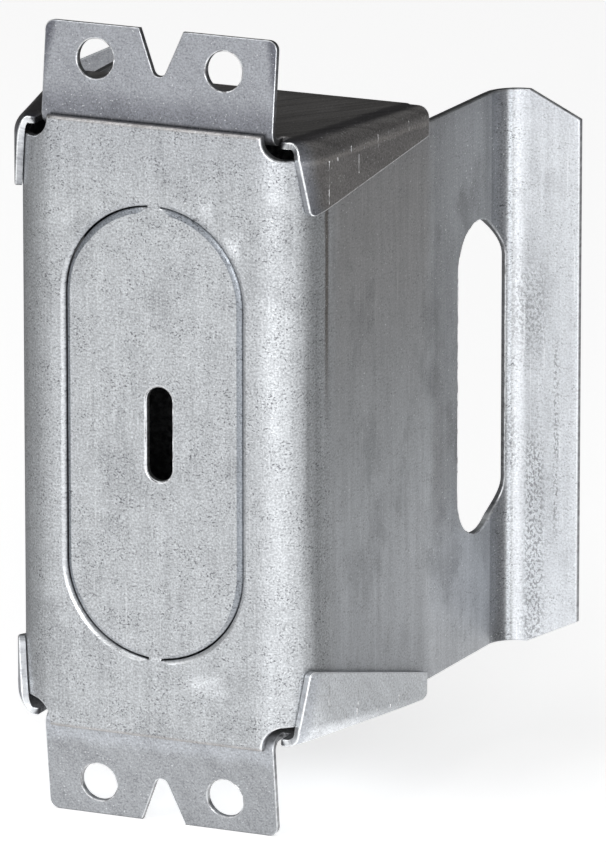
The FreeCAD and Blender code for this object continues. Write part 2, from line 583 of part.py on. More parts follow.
# Side flaps: a slanted front edge, a round tip and a free edge that rises to the rear.
cut = Outline(cap, "flap_trim_outline", "YZ_Plane")
start_z = half_panel - VALUE["cap_bend"] - t
tip_y = VALUE["cap_front"] + VALUE["flap_slant"]
tip_z = half_panel - VALUE["flap_front"]
end_y = VALUE["cap_rear"] + 1
end_z = roof_z - VALUE["flap_rear"]
low_z = tip_z - 6
rt = VALUE["flap_tip"]
head = math.atan2(tip_z - start_z, tip_y - VALUE["cap_front"])
rise = math.atan2(end_z - tip_z, end_y - tip_y)
trim_by = rt / math.tan((math.pi - (rise - head)) / 2)
one = (tip_y - trim_by * math.cos(head), tip_z - trim_by * math.sin(head))
two = (tip_y + trim_by * math.cos(rise), tip_z + trim_by * math.sin(rise))
eye = (one[0] - rt * math.sin(head), one[1] + rt * math.cos(head))
c_lead = cut.line((VALUE["cap_front"], start_z), one)
c_tip = cut.arc(eye, rt, math.degrees(head) - 90, math.degrees(rise) - 90)
c_free = cut.line(two, (end_y, end_z))
c_rear = cut.line((end_y, end_z), (end_y, low_z))
c_low = cut.line((end_y, low_z), (VALUE["cap_front"] - 2, low_z))
c_fore = cut.line((VALUE["cap_front"] - 2, low_z), (VALUE["cap_front"] - 2, start_z))
c_over = cut.line((VALUE["cap_front"] - 2, start_z), (VALUE["cap_front"], start_z))
cut.smooth((c_lead, 2, c_tip, 1), (c_tip, 2, c_free, 1))
cut.join((c_free, 2, c_rear, 1), (c_rear, 2, c_low, 1), (c_low, 2, c_fore, 1), (c_fore, 2, c_over, 1))
cut.join((c_over, 2, c_lead, 1))
for upright in (c_rear, c_fore):
    cut.rule("Vertical", upright)
for flat in (c_low, c_over):
    cut.rule("Horizontal", flat)
LEAD = "atan(sizes.flap_slant / (sizes.flap_front - sizes.cap_bend - sizes.sheet))"
cut.size("lead_from", "sizes.cap_front", "DistanceX", c_lead, 1, VALUE["cap_front"])
cut.size("lead_top", PANEL_TOP + " - sizes.cap_bend - sizes.sheet", "DistanceY", c_lead, 1, start_z)
cut.size("lead_angle", "%s - 90 deg" % LEAD, "Angle", c_lead, head)
cut.size("tip_turn", "sizes.flap_tip", "Radius", c_tip, rt)
cut.size("free_end", "sizes.cap_rear + 1", "DistanceX", c_free, 2, end_y)
cut.size("free_height", CAP_TOP + " - sizes.flap_rear", "DistanceY", c_free, 2, end_z)
RISE = (
    "atan((sizes.cap_room + sizes.sheet - sizes.panel_rise - sizes.flap_rear + sizes.flap_front)"
    " / (sizes.cap_rear + 1 - sizes.cap_front - sizes.flap_slant))"
)
cut.size("free_slope", RISE, "Angle", c_free, rise)
cut.size("under_flap", PANEL_TOP + " - sizes.flap_front - 6", "DistanceY", c_low, 1, low_z)
cut.size("ahead", "sizes.cap_front - 2", "DistanceX", c_fore, 1, VALUE["cap_front"] - 2)
flap_trim = cap.newObject("PartDesign::Pocket", "flap_trim")
flap_trim.Profile = cut.sketch
two_sided(flap_trim, "2 * sizes.overall_width")
cap.Tip = flap_trim
DOC.recompute()

# Alignment notch at the flange's middle.
vee = Outline(cap, "notch_outline", "XZ_Plane")
vw = VALUE["notch_width"] / 2
vr = VALUE["notch_root"]
v_top = peak[1]
v_mid = v_top - VALUE["notch_depth"] + vr
away_by = math.hypot(vw, v_top - v_mid)
lean_in = math.atan2(v_top - v_mid, vw)
touch = lean_in - math.acos(vr / away_by)
left_touch = 180 - math.degrees(touch)
right_point = (vr * math.cos(touch), v_mid + vr * math.sin(touch))
left_point = (-right_point[0], right_point[1])
v_right = vee.line(right_point, (vw, v_top))
v_up = vee.line((vw, v_top), (vw, v_top + 3))
v_lid = vee.line((vw, v_top + 3), (-vw, v_top + 3))
v_down = vee.line((-vw, v_top + 3), (-vw, v_top))
v_left = vee.line((-vw, v_top), left_point)
v_root = vee.arc((0, v_mid), vr, left_touch, math.degrees(touch) + 360)
vee.join((v_right, 2, v_up, 1), (v_up, 2, v_lid, 1), (v_lid, 2, v_down, 1), (v_down, 2, v_left, 1))
vee.smooth((v_left, 2, v_root, 1), (v_root, 2, v_right, 1))
for upright in (v_up, v_down):
    vee.rule("Vertical", upright)
vee.rule("Horizontal", v_lid)
vee.rule("Symmetric", v_right, 2, v_left, 1, -2)
vee.rule("PointOnObject", v_root, 3, -2)
vee.size("notch_half", "sizes.notch_width / 2", "DistanceX", v_right, 2, vw)
vee.size("notch_top", PEAK, "DistanceY", v_right, 2, v_top)
vee.size("notch_lid", "3", "DistanceY", v_up, 1, v_up, 2, 3)
vee.size("root_turn", "sizes.notch_root", "Radius", v_root, vr)
vee.size("root_at", PEAK + " - sizes.notch_depth + sizes.notch_root", "DistanceY", v_root, 3, v_mid)
notch = cap.newObject("PartDesign::Pocket", "alignment_notch")
notch.Profile = vee.sketch
two_sided(notch, "sizes.cap_rear")
cap.Tip = notch
DOC.recompute()

# Nail holes, drilled the way the nails are driven.
nails = Outline(cap, "nail_outline", "XZ_Plane")
nx = VALUE["nail_spacing"] / 2
nz = half_panel + VALUE["nail_rise"]
n_right = nails.circle((nx, nz), VALUE["nail_bore"] / 2)
n_left = nails.circle((-nx, nz), VALUE["nail_bore"] / 2)
nails.rule("Symmetric", n_right, 3, n_left, 3, -2)
nails.rule("Equal", n_right, n_left)
nails.size("nail_turn", "sizes.nail_bore / 2", "Radius", n_right, VALUE["nail_bore"] / 2)
nails.size("nail_side", "sizes.nail_spacing / 2", "DistanceX", n_right, 3, nx)
nails.size("nail_up", PANEL_TOP + " + sizes.nail_rise", "DistanceY", n_right, 3, nz)
nail_holes = cap.newObject("PartDesign::Pocket", "nail_holes")
nail_holes.Profile = nails.sketch
two_sided(nail_holes, "sizes.cap_rear")
cap.Tip = nail_holes
DOC.recompute()

# The lower half is the upper one turned over in the middle plane, and both are one bent strap.
lower = DOC.addObject("Part::Mirroring", "strap_lower_half")
lower.Label = "strap_lower_half"
lower.Source = cap
lower.Base = (0, 0, 0)
lower.Normal = (0, 0, 1)
DOC.recompute()
strap = DOC.addObject("Part::MultiFuse", "closing_strap")
strap.Label = "closing_strap"
strap.Shapes = [cap, lower]
strap.Refine = True
DOC.recompute()

for item in DOC.Objects:
    if "Invalid" in item.State or "Error" in item.State:
        raise RuntimeError("%s did not build: %s" % (item.Name, item.State))
for piece in (body, strap):
    shape = piece.Shape
    if shape.isNull() or not shape.isValid() or len(shape.Solids) != 1:
        raise RuntimeError("%s is not one valid solid" % piece.Label)
    shape.exportStep("parts/%s.step" % piece.Label)
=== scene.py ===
"""Looks of a galvanised concrete insert: bent-sheet meshes, zinc finishes, studio light and camera.

All lengths in the classes are millimetres in the part's own frame; meshes are written in metres.
"""

import logging
import math
from dataclasses import dataclass, field
from enum import Enum
from typing import Callable, Sequence

import bpy
import numpy as np
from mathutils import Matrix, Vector, geometry

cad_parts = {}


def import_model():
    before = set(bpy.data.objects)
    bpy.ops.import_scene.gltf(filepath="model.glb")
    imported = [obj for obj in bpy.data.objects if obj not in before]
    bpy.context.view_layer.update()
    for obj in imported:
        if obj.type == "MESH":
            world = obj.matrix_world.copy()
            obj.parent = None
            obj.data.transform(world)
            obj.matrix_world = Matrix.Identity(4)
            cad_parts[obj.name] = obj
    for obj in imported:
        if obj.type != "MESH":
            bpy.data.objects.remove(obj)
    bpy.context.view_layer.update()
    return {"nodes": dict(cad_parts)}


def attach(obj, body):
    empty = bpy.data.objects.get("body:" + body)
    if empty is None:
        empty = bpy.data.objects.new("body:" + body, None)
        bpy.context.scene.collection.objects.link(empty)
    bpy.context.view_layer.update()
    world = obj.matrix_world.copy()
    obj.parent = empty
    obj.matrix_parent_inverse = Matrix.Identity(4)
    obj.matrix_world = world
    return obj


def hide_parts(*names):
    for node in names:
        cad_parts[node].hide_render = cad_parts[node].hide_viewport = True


LOG = logging.getLogger("concrete_insert")
MM = 0.001
# Millimetres of the flat pattern in one unit of the UV map.
FLAT_UNIT = 100.0
WALL_FLARE = 11.5
# How strongly painted shade darkens the zinc inside the closed box, and the step by which slopes are
# measured.
INNER_PAINTED_SHADE = 0.95
NUDGE = 0.02
# How close to a line of the pattern a point counts as on it.
CLOSE = 0.05
Pair = tuple[float, float]
Triple = tuple[float, float, float]
Tone = Triple


class EdgeKind(Enum):
    """How a cut edge was made."""

    WORN = "rounded by handling"
    SHEARED = "drawn down by a shear"


@dataclass(frozen=True)
class RimProfile:
    """The rounding of a cut edge, ring by ring: shares of its width and depth, and its rubbed zinc with a
    painted highlight.
    """

    steps: tuple[Pair, ...]
    wear_and_sheen: tuple[float, ...]


RIMS = {
    EdgeKind.WORN: RimProfile(((1.0, 0.0), (0.5, 0.134), (0.134, 0.5), (0.0, 1.0)), (0.0, 0.8, 1.0, 0.3)),
    EdgeKind.SHEARED: RimProfile(
        ((1.0, 0.0), (0.93, 0.02), (0.70, 0.16), (0.42, 0.38), (0.16, 0.64), (0.0, 1.0)),
        (0.0, 0.3, 0.8, 1.0, 0.5, 0.1),
    ),
}


class Skin(Enum):
    """The two faces of a sheet: the one that depth is measured from, and the one behind it."""

    FACE = 1
    BACK = -1


def spread(first: float, last: float, step: float) -> list[float]:
    """Even stops from first to last.

    Args:
        first: Where the stops begin.
        last: Where they end.
        step: The most that may lie between two stops.

    Returns:
        The stops, both ends included.
    """
    count = max(1, math.ceil(abs(last - first) / step - 1e-9))
    return [first + (last - first) * i / count for i in range(count + 1)]


def run_of(one: Pair, two: Pair, step: float) -> list[Pair]:
    """Points of a straight run.

    Args:
        one: Its first point.
        two: Its last point.
        step: The most that may lie between two points.

    Returns:
        The points, both ends included.
    """
    length = math.hypot(two[0] - one[0], two[1] - one[1])
    return [
        (one[0] + (two[0] - one[0]) * k, one[1] + (two[1] - one[1]) * k)
        for k in spread(0.0, 1.0, step / max(length, 1e-9))
    ]


def arc_of(centre: Pair, radius: float, first: float, last: float, step: float) -> list[Pair]:
    """Points of a circular arc.

    Args:
        centre: The arc's centre.
        radius: Its radius.
        first: Angle of its first point in degrees.
        last: Angle of its last point in degrees.
        step: The most that may lie between two points.

    Returns:
        The points, both ends included.
    """
    turns = spread(math.radians(first), math.radians(last), step / radius)
    return [(centre[0] + radius * math.cos(a), centre[1] + radius * math.sin(a)) for a in turns]


def chain(*parts: Sequence[Pair]) -> list[Pair]:
    """Join runs of points end to end.

    Args:
        parts: The runs.

    Returns:
        Their points, without those that repeat the point before.
    """
    joined: list[Pair] = []
    for part in parts:
        for p in part:
            if not joined or math.hypot(p[0] - joined[-1][0], p[1] - joined[-1][1]) > 1e-4:
                joined.append(p)
    return joined


def four_fold(quarter: Sequence[Pair]) -> list[Pair]:
    """Mirror a quarter of an outline, from its right side to its top, to the other three.

    Args:
        quarter: The points of the quarter.

    Returns:
        The whole outline, counter-clockwise and open at its last point.
    """
    return chain(
        quarter,
        [(-x, z) for x, z in reversed(quarter)],
        [(-x, -z) for x, z in quarter],
        [(x, -z) for x, z in reversed(quarter)][:-1],
    )


def obround(centre: Pair, width: float, height: float, step: float) -> list[Pair]:
    """An upright slot outline with round ends.

    Args:
        centre: The middle of the slot.
        width: Its width, which is the diameter of its ends.
        height: Its whole height.
        step: The most that may lie between two points of its ends.

    Returns:
        The outline, counter-clockwise and open at its last point.
    """
    r = width / 2
    s = height / 2 - r
    x, z = centre
    side_step = 2.5
    loop = chain(
        arc_of((x, z + s), r, 0, 180, step),
        run_of((x - r, z + s), (x - r, z - s), side_step),
        arc_of((x, z - s), r, 180, 360, step),
        run_of((x + r, z - s), (x + r, z + s), side_step),
    )
    return loop[:-1]


def smooth_step(low: float, high: float, value: float) -> float:
    """0 below low, 1 above high and an even rise between."""
    k = min(1.0, max(0.0, (value - low) / (high - low)))
    return k * k * (3 - 2 * k)


@dataclass
class BendLine:
    """The side view of a bent sheet: a start, a heading, and runs of length and curvature.

    The sheet's other face lies to the left of the way that the line runs.
    """

    start: Pair
    heading: float
    runs: list[Pair]
    knots: list[tuple[float, float, float, float]] = field(default_factory=list)

    def __post_init__(self) -> None:
        """Work out where each run begins."""
        s, (x, y), h = 0.0, self.start, self.heading
        for length, bend in self.runs:
            self.knots.append((s, x, y, h))
            x, y, h = self._step(x, y, h, length, bend)
            s += length
        self.length = s

    @staticmethod
    def _step(x: float, y: float, h: float, length: float, bend: float) -> tuple[float, float, float]:
        """Go a length along one run.

        Args:
            x: Where it begins.
            y: Where it begins, on the other axis.
            h: Its heading there.
            length: The length to go.
            bend: Its curvature.

        Returns:
            The place and the heading reached.
        """
        if abs(bend) < 1e-9:
            return x + length * math.cos(h), y + length * math.sin(h), h
        t = h + length * bend
        return x + (math.sin(t) - math.sin(h)) / bend, y + (math.cos(h) - math.cos(t)) / bend, t

    def at(self, s: float, depth: float = 0.0) -> Pair:
        """A point of the sheet.

        Args:
            s: Length along the line.
            depth: Depth into the sheet.

        Returns:
            The point.
        """
        k = len(self.runs) - 1
        while k > 0 and s < self.knots[k][0]:
            k -= 1
        s0, x0, y0, h0 = self.knots[k]
        x, y, h = self._step(x0, y0, h0, s - s0, self.runs[k][1])
        return x - depth * math.sin(h), y + depth * math.cos(h)

    def find(self, axis: int, value: float, depth: float, low: float, high: float) -> float:
        """The length at which one coordinate has a value.

        Args:
            axis: 0 or 1, the coordinate to look at.
            value: What it should be.
            depth: Depth into the sheet.
            low: A length before the place looked for.
            high: A length after it.

        Returns:
            The length along the line.
        """
        rising = self.at(high, depth)[axis] > self.at(low, depth)[axis]
        for _ in range(44):
            middle = (low + high) / 2
            if (self.at(middle, depth)[axis] < value) == rising:
                low = middle
            else:
                high = middle
        return (low + high) / 2

    def rows(self, flat_step: float, turn: float) -> list[Pair]:
        """Stops along the line, close together in its bends.

        Args:
            flat_step: Spacing on straight runs.
            turn: Degrees turned between two stops in a bend.

        Returns:
            Length along the line and the spacing there, stop by stop.
        """
        stops: list[Pair] = []
        for (length, bend), knot in zip(self.runs, self.knots):
            step = flat_step if abs(bend) < 1e-9 else math.radians(turn) / abs(bend)
            stops.extend((s, step) for s in spread(knot[0], knot[0] + length, step)[:-1])
        return [*stops, (self.length, flat_step)]


@dataclass(frozen=True)
class EdgeDress:
    """A cut edge at one point: its rounding's width and depth, its rubbed zinc and painted highlight, and
    its wall's painted shade.

    On a sheared edge the last value is how strongly the drawn band shows, its sheared zinc darkened partly
    by painted shade.
    """

    width: float
    depth: float
    bare_sheen: float = 0.9
    dark: float = 0.8


@dataclass
class CutEdge:
    """A closed cut through a sheet, given point by point on both faces in flat coordinates.

    Material lies to the left of the way that the points run.
    """

    face: list[Pair]
    back: list[Pair]
    dress: list[EdgeDress]
    back_roll: Pair = (0.14, 0.12)
    kind: EdgeKind = EdgeKind.WORN


class Graph:
    """A node tree that is filled one node at a time."""

    def __init__(self, tree: bpy.types.NodeTree) -> None:
        """Keep the tree to fill."""
        self.tree = tree

    def add(self, kind: str, inputs: dict | None = None, **settings: object) -> bpy.types.Node:
        """Add a node.

        Args:
            kind: Type of the node.
            inputs: Values or sockets for its inputs, by name or number.
            settings: Its own properties.

        Returns:
            The node.
        """
        node = self.tree.nodes.new(kind)
        for key, value in settings.items():
            setattr(node, key, value)
        self.feed(node, inputs or {})
        return node

    def feed(self, node: bpy.types.Node, inputs: dict) -> None:
        """Give a node its inputs.

        Args:
            node: The node.
            inputs: Values to set or sockets to link, by name or number of the input.
        """
        for key, value in inputs.items():
            if isinstance(value, bpy.types.NodeSocket):
                self.tree.links.new(value, node.inputs[key])
            else:
                node.inputs[key].default_value = value

    def math(self, operation: str, *values: object) -> bpy.types.NodeSocket:
        """Add a sum on values or sockets and return its result."""
        return self.add("ShaderNodeMath", dict(enumerate(values)), operation=operation).outputs[0]

    def plus(self, base: object, value: object, share: object) -> bpy.types.NodeSocket:
        """Add a share of a value to a base and return the result."""
        return self.math("MULTIPLY_ADD", value, share, base)

    def total(
        self, base: object, layers: Sequence[object], shares: Sequence[float]
    ) -> bpy.types.NodeSocket:
        """Add up layers.

        Args:
            base: What they are added to.
            layers: The values to add.
            shares: How much of each is added.

        Returns:
            The sum.
        """
        for layer, share in zip(layers, shares):
            base = self.plus(base, layer, share)
        return base

    def vector(self, operation: str, inputs: dict) -> bpy.types.NodeSocket:
        """Add a sum on vectors and return its result."""
        return self.add("ShaderNodeVectorMath", inputs, operation=operation).outputs[0]

    def remap(
        self, value: object, low: float, high: float, to_low: float = 0.0, to_high: float = 1.0
    ) -> bpy.types.NodeSocket:
        """Carry one range of a value smoothly over to another."""
        ranges = {0: value, 1: low, 2: high, 3: to_low, 4: to_high}
        return self.add("ShaderNodeMapRange", ranges, interpolation_type="SMOOTHSTEP").outputs[0]

    def window(self, value: object, low: float, high: float, soft: float) -> bpy.types.NodeSocket:
        """Mark a range of a value.

        Args:
            value: The value.
            low: Where the range begins.
            high: Where it ends.
            soft: Half the width of its borders.

        Returns:
            1 in the range and 0 outside it.
        """
        rise = self.remap(value, low - soft, low + soft)
        fall = self.remap(value, high - soft, high + soft, 1.0, 0.0)
        return self.math("MULTIPLY", rise, fall)

    def noise(self, vector: object, scale: float, detail: float, rough: float) -> bpy.types.NodeSocket:
        """Add a noise and return its value."""
        inputs = {"Vector": vector, "Scale": scale, "Detail": detail, "Roughness": rough}
        return self.add("ShaderNodeTexNoise", inputs).outputs[0]

    def stretch(self, vector: object, across: float, along: float, shift: float) -> bpy.types.NodeSocket:
        """Scale flat coordinates across and along the sheet, and shift them to another place."""
        inputs = {"Scale": (across, along, 1.0), "Location": (shift, shift * 1.7, shift * 0.3)}
        return self.add("ShaderNodeMapping", {"Vector": vector, **inputs}).outputs[0]

    def blend(self, share: object, one: object, two: object, kind: str = "MIX") -> bpy.types.NodeSocket:
        """Blend two colours.

        Args:
            share: How much of the second colour there is.
            one: The first colour, as a tone or a socket.
            two: The second colour.
            kind: How they are blended.

        Returns:
            The blended colour.
        """
        first, second = (c if isinstance(c, bpy.types.NodeSocket) else (*c, 1.0) for c in (one, two))
        settings = {"data_type": "RGBA", "blend_type": kind, "clamp_factor": True}
        return self.add("ShaderNodeMix", {0: share, 6: first, 7: second}, **settings).outputs[2]


class SheetEffect(Enum):
    """Effects of the zinc surface that both pieces share."""

    GRAIN = "zinc_grain"
    STREAKS = "rolling_streaks"
    STAINS = "handling_stains"


class EffectLibrary:
    """Makes each shared effect once, as a node group."""

    def __init__(self) -> None:
        """Start with no effect made."""
        self.made: dict[SheetEffect, bpy.types.NodeTree] = {}
        self.makers: dict[SheetEffect, Callable[[str], bpy.types.NodeTree]] = {
            SheetEffect.GRAIN: self._grain,
            SheetEffect.STREAKS: self._streaks,
            SheetEffect.STAINS: self._stains,
        }

    def use(self, graph: Graph, effect: SheetEffect, inputs: dict) -> bpy.types.Node:
        """Put an effect into a material.

        Args:
            graph: The material's nodes.
            effect: The effect.
            inputs: Values or sockets for its inputs.

        Returns:
            The group node.
        """
        if effect not in self.made:
            self.made[effect] = self.makers[effect](effect.value)
        return graph.add("ShaderNodeGroup", inputs, node_tree=self.made[effect])

    @staticmethod
    def _start(
        name: str, gives: Sequence[str], amounts: Sequence[str] = ()
    ) -> tuple[Graph, dict[str, bpy.types.NodeSocket], bpy.types.Node]:
        """Make an empty group that takes flat coordinates.

        Args:
            name: Name of the group.
            gives: Names of its value outputs.
            amounts: Names of its value inputs.

        Returns:
            Its graph, its input sockets by name, and its output node.
        """
        tree = bpy.data.node_groups.new(name, "ShaderNodeTree")
        tree.interface.new_socket("Sheet", in_out="INPUT", socket_type="NodeSocketVector")
        for way, names in (("INPUT", amounts), ("OUTPUT", gives)):
            for key in names:
                tree.interface.new_socket(key, in_out=way, socket_type="NodeSocketFloat")
        graph = Graph(tree)
        came = graph.add("NodeGroupInput")
        return graph, {s.name: s for s in came.outputs if s.name}, graph.add("NodeGroupOutput")

    def _grain(self, name: str) -> bpy.types.NodeTree:
        """Fine mottling of the zinc, with dark pits and small glints.

        Args:
            name: Name of the group.

        Returns:
            The group.
        """
        g, came, out = self._start(name, ("Tone", "Pits", "Glints"), ("Pits",))
        sheet = came["Sheet"]
        rows = g.noise(g.stretch(sheet, 0.6, 3.4, 3.0), 1.0, 2.0, 0.6)
        columns = g.noise(g.stretch(sheet, 3.4, 0.6, 7.0), 1.0, 2.0, 0.6)
        clouds = g.noise(sheet, 0.24, 3.0, 0.6)
        fine = g.noise(sheet, 2.9, 2.0, 0.65)
        mixed = g.total(0.0, (fine, rows, columns, clouds), (1.35, 0.3, 0.15, 0.3))
        dots = g.remap(g.noise(g.stretch(sheet, 2.6, 3.2, 11.0), 1.0, 1.0, 0.5), 0.40, 0.33)
        patches = g.remap(g.noise(g.stretch(sheet, 0.2, 0.3, 6.0), 1.0, 3.0, 0.6), 0.36, 0.62, 0.15, 1.0)
        g.feed(out, {
            "Tone": g.plus(-1.285, mixed, 1.7),
            "Pits": g.math("MULTIPLY", dots, g.math("MULTIPLY", patches, came["Pits"])),
            "Glints": g.remap(g.noise(g.stretch(sheet, 2.2, 2.6, 17.0), 1.0, 1.0, 0.5), 0.69, 0.75),
        })
        return g.tree

    def _streaks(self, name: str) -> bpy.types.NodeTree:
        """Long soft streaks along the sheet's rolling direction, and thin scratches.

        Args:
            name: Name of the group.

        Returns:
            The group.
        """
        g, came, out = self._start(name, ("Streak", "Scratch"))
        broad = g.noise(g.stretch(came["Sheet"], 0.9, 0.04, 5.0), 1.0, 4.0, 0.6)
        thin = g.noise(g.stretch(came["Sheet"], 4.0, 0.06, 9.0), 1.0, 2.0, 0.5)
        g.feed(out, {"Streak": g.plus(-1.0, broad, 2.0), "Scratch": g.remap(thin, 0.66, 0.74)})
        return g.tree

    def _stains(self, name: str) -> bpy.types.NodeTree:
        """Cloudy handling marks with soft rims, and the slow waves of the sheet.

        Args:
            name: Name of the group.

        Returns:
            The group.
        """
        g, came, out = self._start(name, ("Stain", "Waves"))
        clouds = g.noise(g.stretch(came["Sheet"], 0.10, 0.06, 2.0), 1.0, 5.0, 0.62)
        waves = g.noise(g.stretch(came["Sheet"], 0.07, 0.05, 13.0), 1.0, 1.0, 0.4)
        g.feed(out, {"Stain": g.remap(clouds, 0.52, 0.66), "Waves": waves})
        return g.tree


class FlatAxis(Enum):
    """Direction in a flat pattern along which a tone band is measured."""

    ACROSS = "sideways"
    ALONG = "height"
    FROM_MIDDLE = "distance from the middle line"
    FROM_WAIST = "distance from the middle height"
    ACROSS_FLARE = "distance square to the flared side bends"


UNTINTED: Tone = (1.0, 1.0, 1.0)


@dataclass(frozen=True)
class ToneBand:
    """A stretch of the flat pattern whose zinc has another tone, more streaks or more pits than the rest.

    Its reach, where it has one, is how far it goes in the other direction, and it fades out there.
    """

    axis: FlatAxis
    low: float
    high: float
    soft: float
    tint: Tone = UNTINTED
    ragged: float = 0.0
    reach: Pair | None = None
    fade: float = 6.0
    streaked: float = 0.0
    pitted: float = 0.0
    chalky: float = 0.0
    calm: float = 0.0


@dataclass(frozen=True)
class ZincFinish:
    """A mill-galvanised finish with grain, streaks, stains, tone bands and cut edges, with painted light
    and shade in some bands and on the edges.

    The polish is what the grain, the stains and the rubbed, highlighted edges add to the roughness. The
    relief is the height in millimetres that the grain, the pits and the sheet's waves give the surface.
    """

    name: str
    pale: Tone = (0.70, 0.725, 0.75)
    grey: Tone = (0.33, 0.34, 0.355)
    # The bright zinc below lights scratches, glints and rubbed edges, where it is partly a painted
    # highlight; the next tone darkens drawn bands partly as painted shade, and the dark one after it is
    # painted shade on cut walls and inside the box.
    cut: Tone = (0.90, 0.92, 0.94)
    shorn_and_shade: Tone = (0.50, 0.52, 0.55)
    shade_paint: Tone = (0.05, 0.05, 0.055)
    pit: Tone = (0.09, 0.09, 0.10)
    roughness: float = 0.42
    polish: Triple = (-0.06, 0.08, -0.1)
    metallic: float = 0.88
    pits: float = 0.9
    pit_strength: float = 0.8
    mottle: float = 1.0
    streak: float = 0.3
    streak_turn: float = 0.0
    scratch: float = 0.3
    glint: float = 0.6
    stain: float = 0.2
    relief: Triple = (0.006, -0.02, 0.35)
    bands: tuple[ToneBand, ...] = ()

    def material(self, effects: EffectLibrary) -> bpy.types.Material:
        """Make the material.

        Args:
            effects: The shared effects.

        Returns:
            The material.
        """
        made = bpy.data.materials.new(self.name)
        made.use_nodes = True
        g = Graph(made.node_tree)
        uv = g.add("ShaderNodeUVMap", None, uv_map="flat_sheet").outputs[0]
        sheet = g.vector("SCALE", {0: uv, "Scale": FLAT_UNIT})
        turn = (0.0, 0.0, math.radians(self.streak_turn))
        turned = g.add("ShaderNodeMapping", {"Vector": sheet, "Rotation": turn}).outputs[0]
        grain = effects.use(g, SheetEffect.GRAIN, {"Sheet": sheet, "Pits": self.pits}).outputs
        streaks = effects.use(g, SheetEffect.STREAKS, {"Sheet": turned}).outputs
        stains = effects.use(g, SheetEffect.STAINS, {"Sheet": sheet}).outputs
        masks = [(band, self._mask(g, sheet, band)) for band in self.bands]
        mottle, streak, pits = self._wear(g, sheet, grain["Pits"], masks)
        tone = g.plus(0.5, g.math("SUBTRACT", grain["Tone"], 0.5), mottle)
        tone = g.plus(tone, streaks["Streak"], streak)
        tone = g.plus(tone, stains["Stain"], -self.stain)
        colour = g.blend(tone, self.grey, self.pale)
        colour = g.blend(g.math("MULTIPLY", pits, self.pit_strength), colour, self.pit)
        colour = g.blend(g.math("MULTIPLY", streaks["Scratch"], self.scratch), colour, self.cut)
        metal: object = self.metallic
        for band, mask in masks:
            if band.tint != UNTINTED:
                colour = g.blend(mask, colour, band.tint, "MULTIPLY")
            if band.chalky:
                metal = g.plus(metal, mask, -band.chalky)
        colour = g.blend(g.math("MULTIPLY", grain["Glints"], self.glint), colour, self.cut)
        colour, worn_sheen = self._edges(g, sheet, colour)
        height = g.total(0.0, (grain["Tone"], pits, stains["Waves"]), self.relief)
        bump = g.add("ShaderNodeBump", {"Height": height, "Distance": MM, "Strength": 1.0})
        g.feed(made.node_tree.nodes["Principled BSDF"], {
            "Base Color": colour,
            "Roughness": g.total(self.roughness, (grain["Tone"], stains["Stain"], worn_sheen), self.polish),
            "Metallic": metal,
            "Normal": bump.outputs[0],
        })
        return made

    def _wear(
        self, g: Graph, sheet: bpy.types.NodeSocket, pits: bpy.types.NodeSocket,
        masks: list[tuple[ToneBand, bpy.types.NodeSocket]],
    ) -> tuple[object, object, bpy.types.NodeSocket]:
        """How the tone bands change the zinc's grain.

        Args:
            g: The nodes to add to.
            sheet: Flat coordinates.
            pits: Where the grain has pits.
            masks: The bands and where each lies.

        Returns:
            How strong the mottling and the streaks are, and where the pits are.
        """
        mottle: object = self.mottle
        streak: object = self.streak
        for band, mask in masks:
            if band.calm:
                kept = g.plus(1.0, mask, -band.calm)
                mottle = g.math("MULTIPLY", mottle, kept)
                pits = g.math("MULTIPLY", pits, kept)
            if band.streaked:
                streak = g.plus(streak, mask, band.streaked)
            if band.pitted:
                dots = g.noise(g.stretch(sheet, 2.2, 1.6, 23.0), 1.0, 2.0, 0.6)
                eaten = g.math("MULTIPLY", mask, g.remap(dots, 0.52, 0.42, 0.0, band.pitted))
                pits = g.math("MAXIMUM", pits, eaten)
        return mottle, streak, pits

    def _edges(
        self, g: Graph, sheet: bpy.types.NodeSocket, colour: bpy.types.NodeSocket
    ) -> tuple[bpy.types.NodeSocket, bpy.types.NodeSocket]:
        """Darken drawn bands, partly as painted shade, put painted shade on cut walls and inside the box,
        and brighten rubbed edges with a painted highlight.

        Args:
            g: The nodes to add to.
            sheet: Flat coordinates.
            colour: Colour of the faces.

        Returns:
            The colour with its edges, and where the edges are rubbed and highlighted.
        """
        drawn, shade_paint, worn_sheen = (
            g.add("ShaderNodeAttribute", None, attribute_name=name).outputs["Fac"]
            for name in ("sheared_band_shade", "painted_shade", "worn_edge_sheen")
        )
        colour = g.blend(drawn, colour, self.shorn_and_shade, "MULTIPLY")
        patchy = g.remap(g.noise(sheet, 0.9, 3.0, 0.6), 0.35, 0.65, 0.7, 1.0)
        colour = g.blend(g.math("MULTIPLY", shade_paint, patchy), colour, self.shade_paint)
        spotty = g.remap(g.noise(sheet, 1.1, 3.0, 0.6), 0.32, 0.58, 0.4, 1.0)
        return g.blend(g.math("MULTIPLY", worn_sheen, spotty), colour, self.cut), worn_sheen

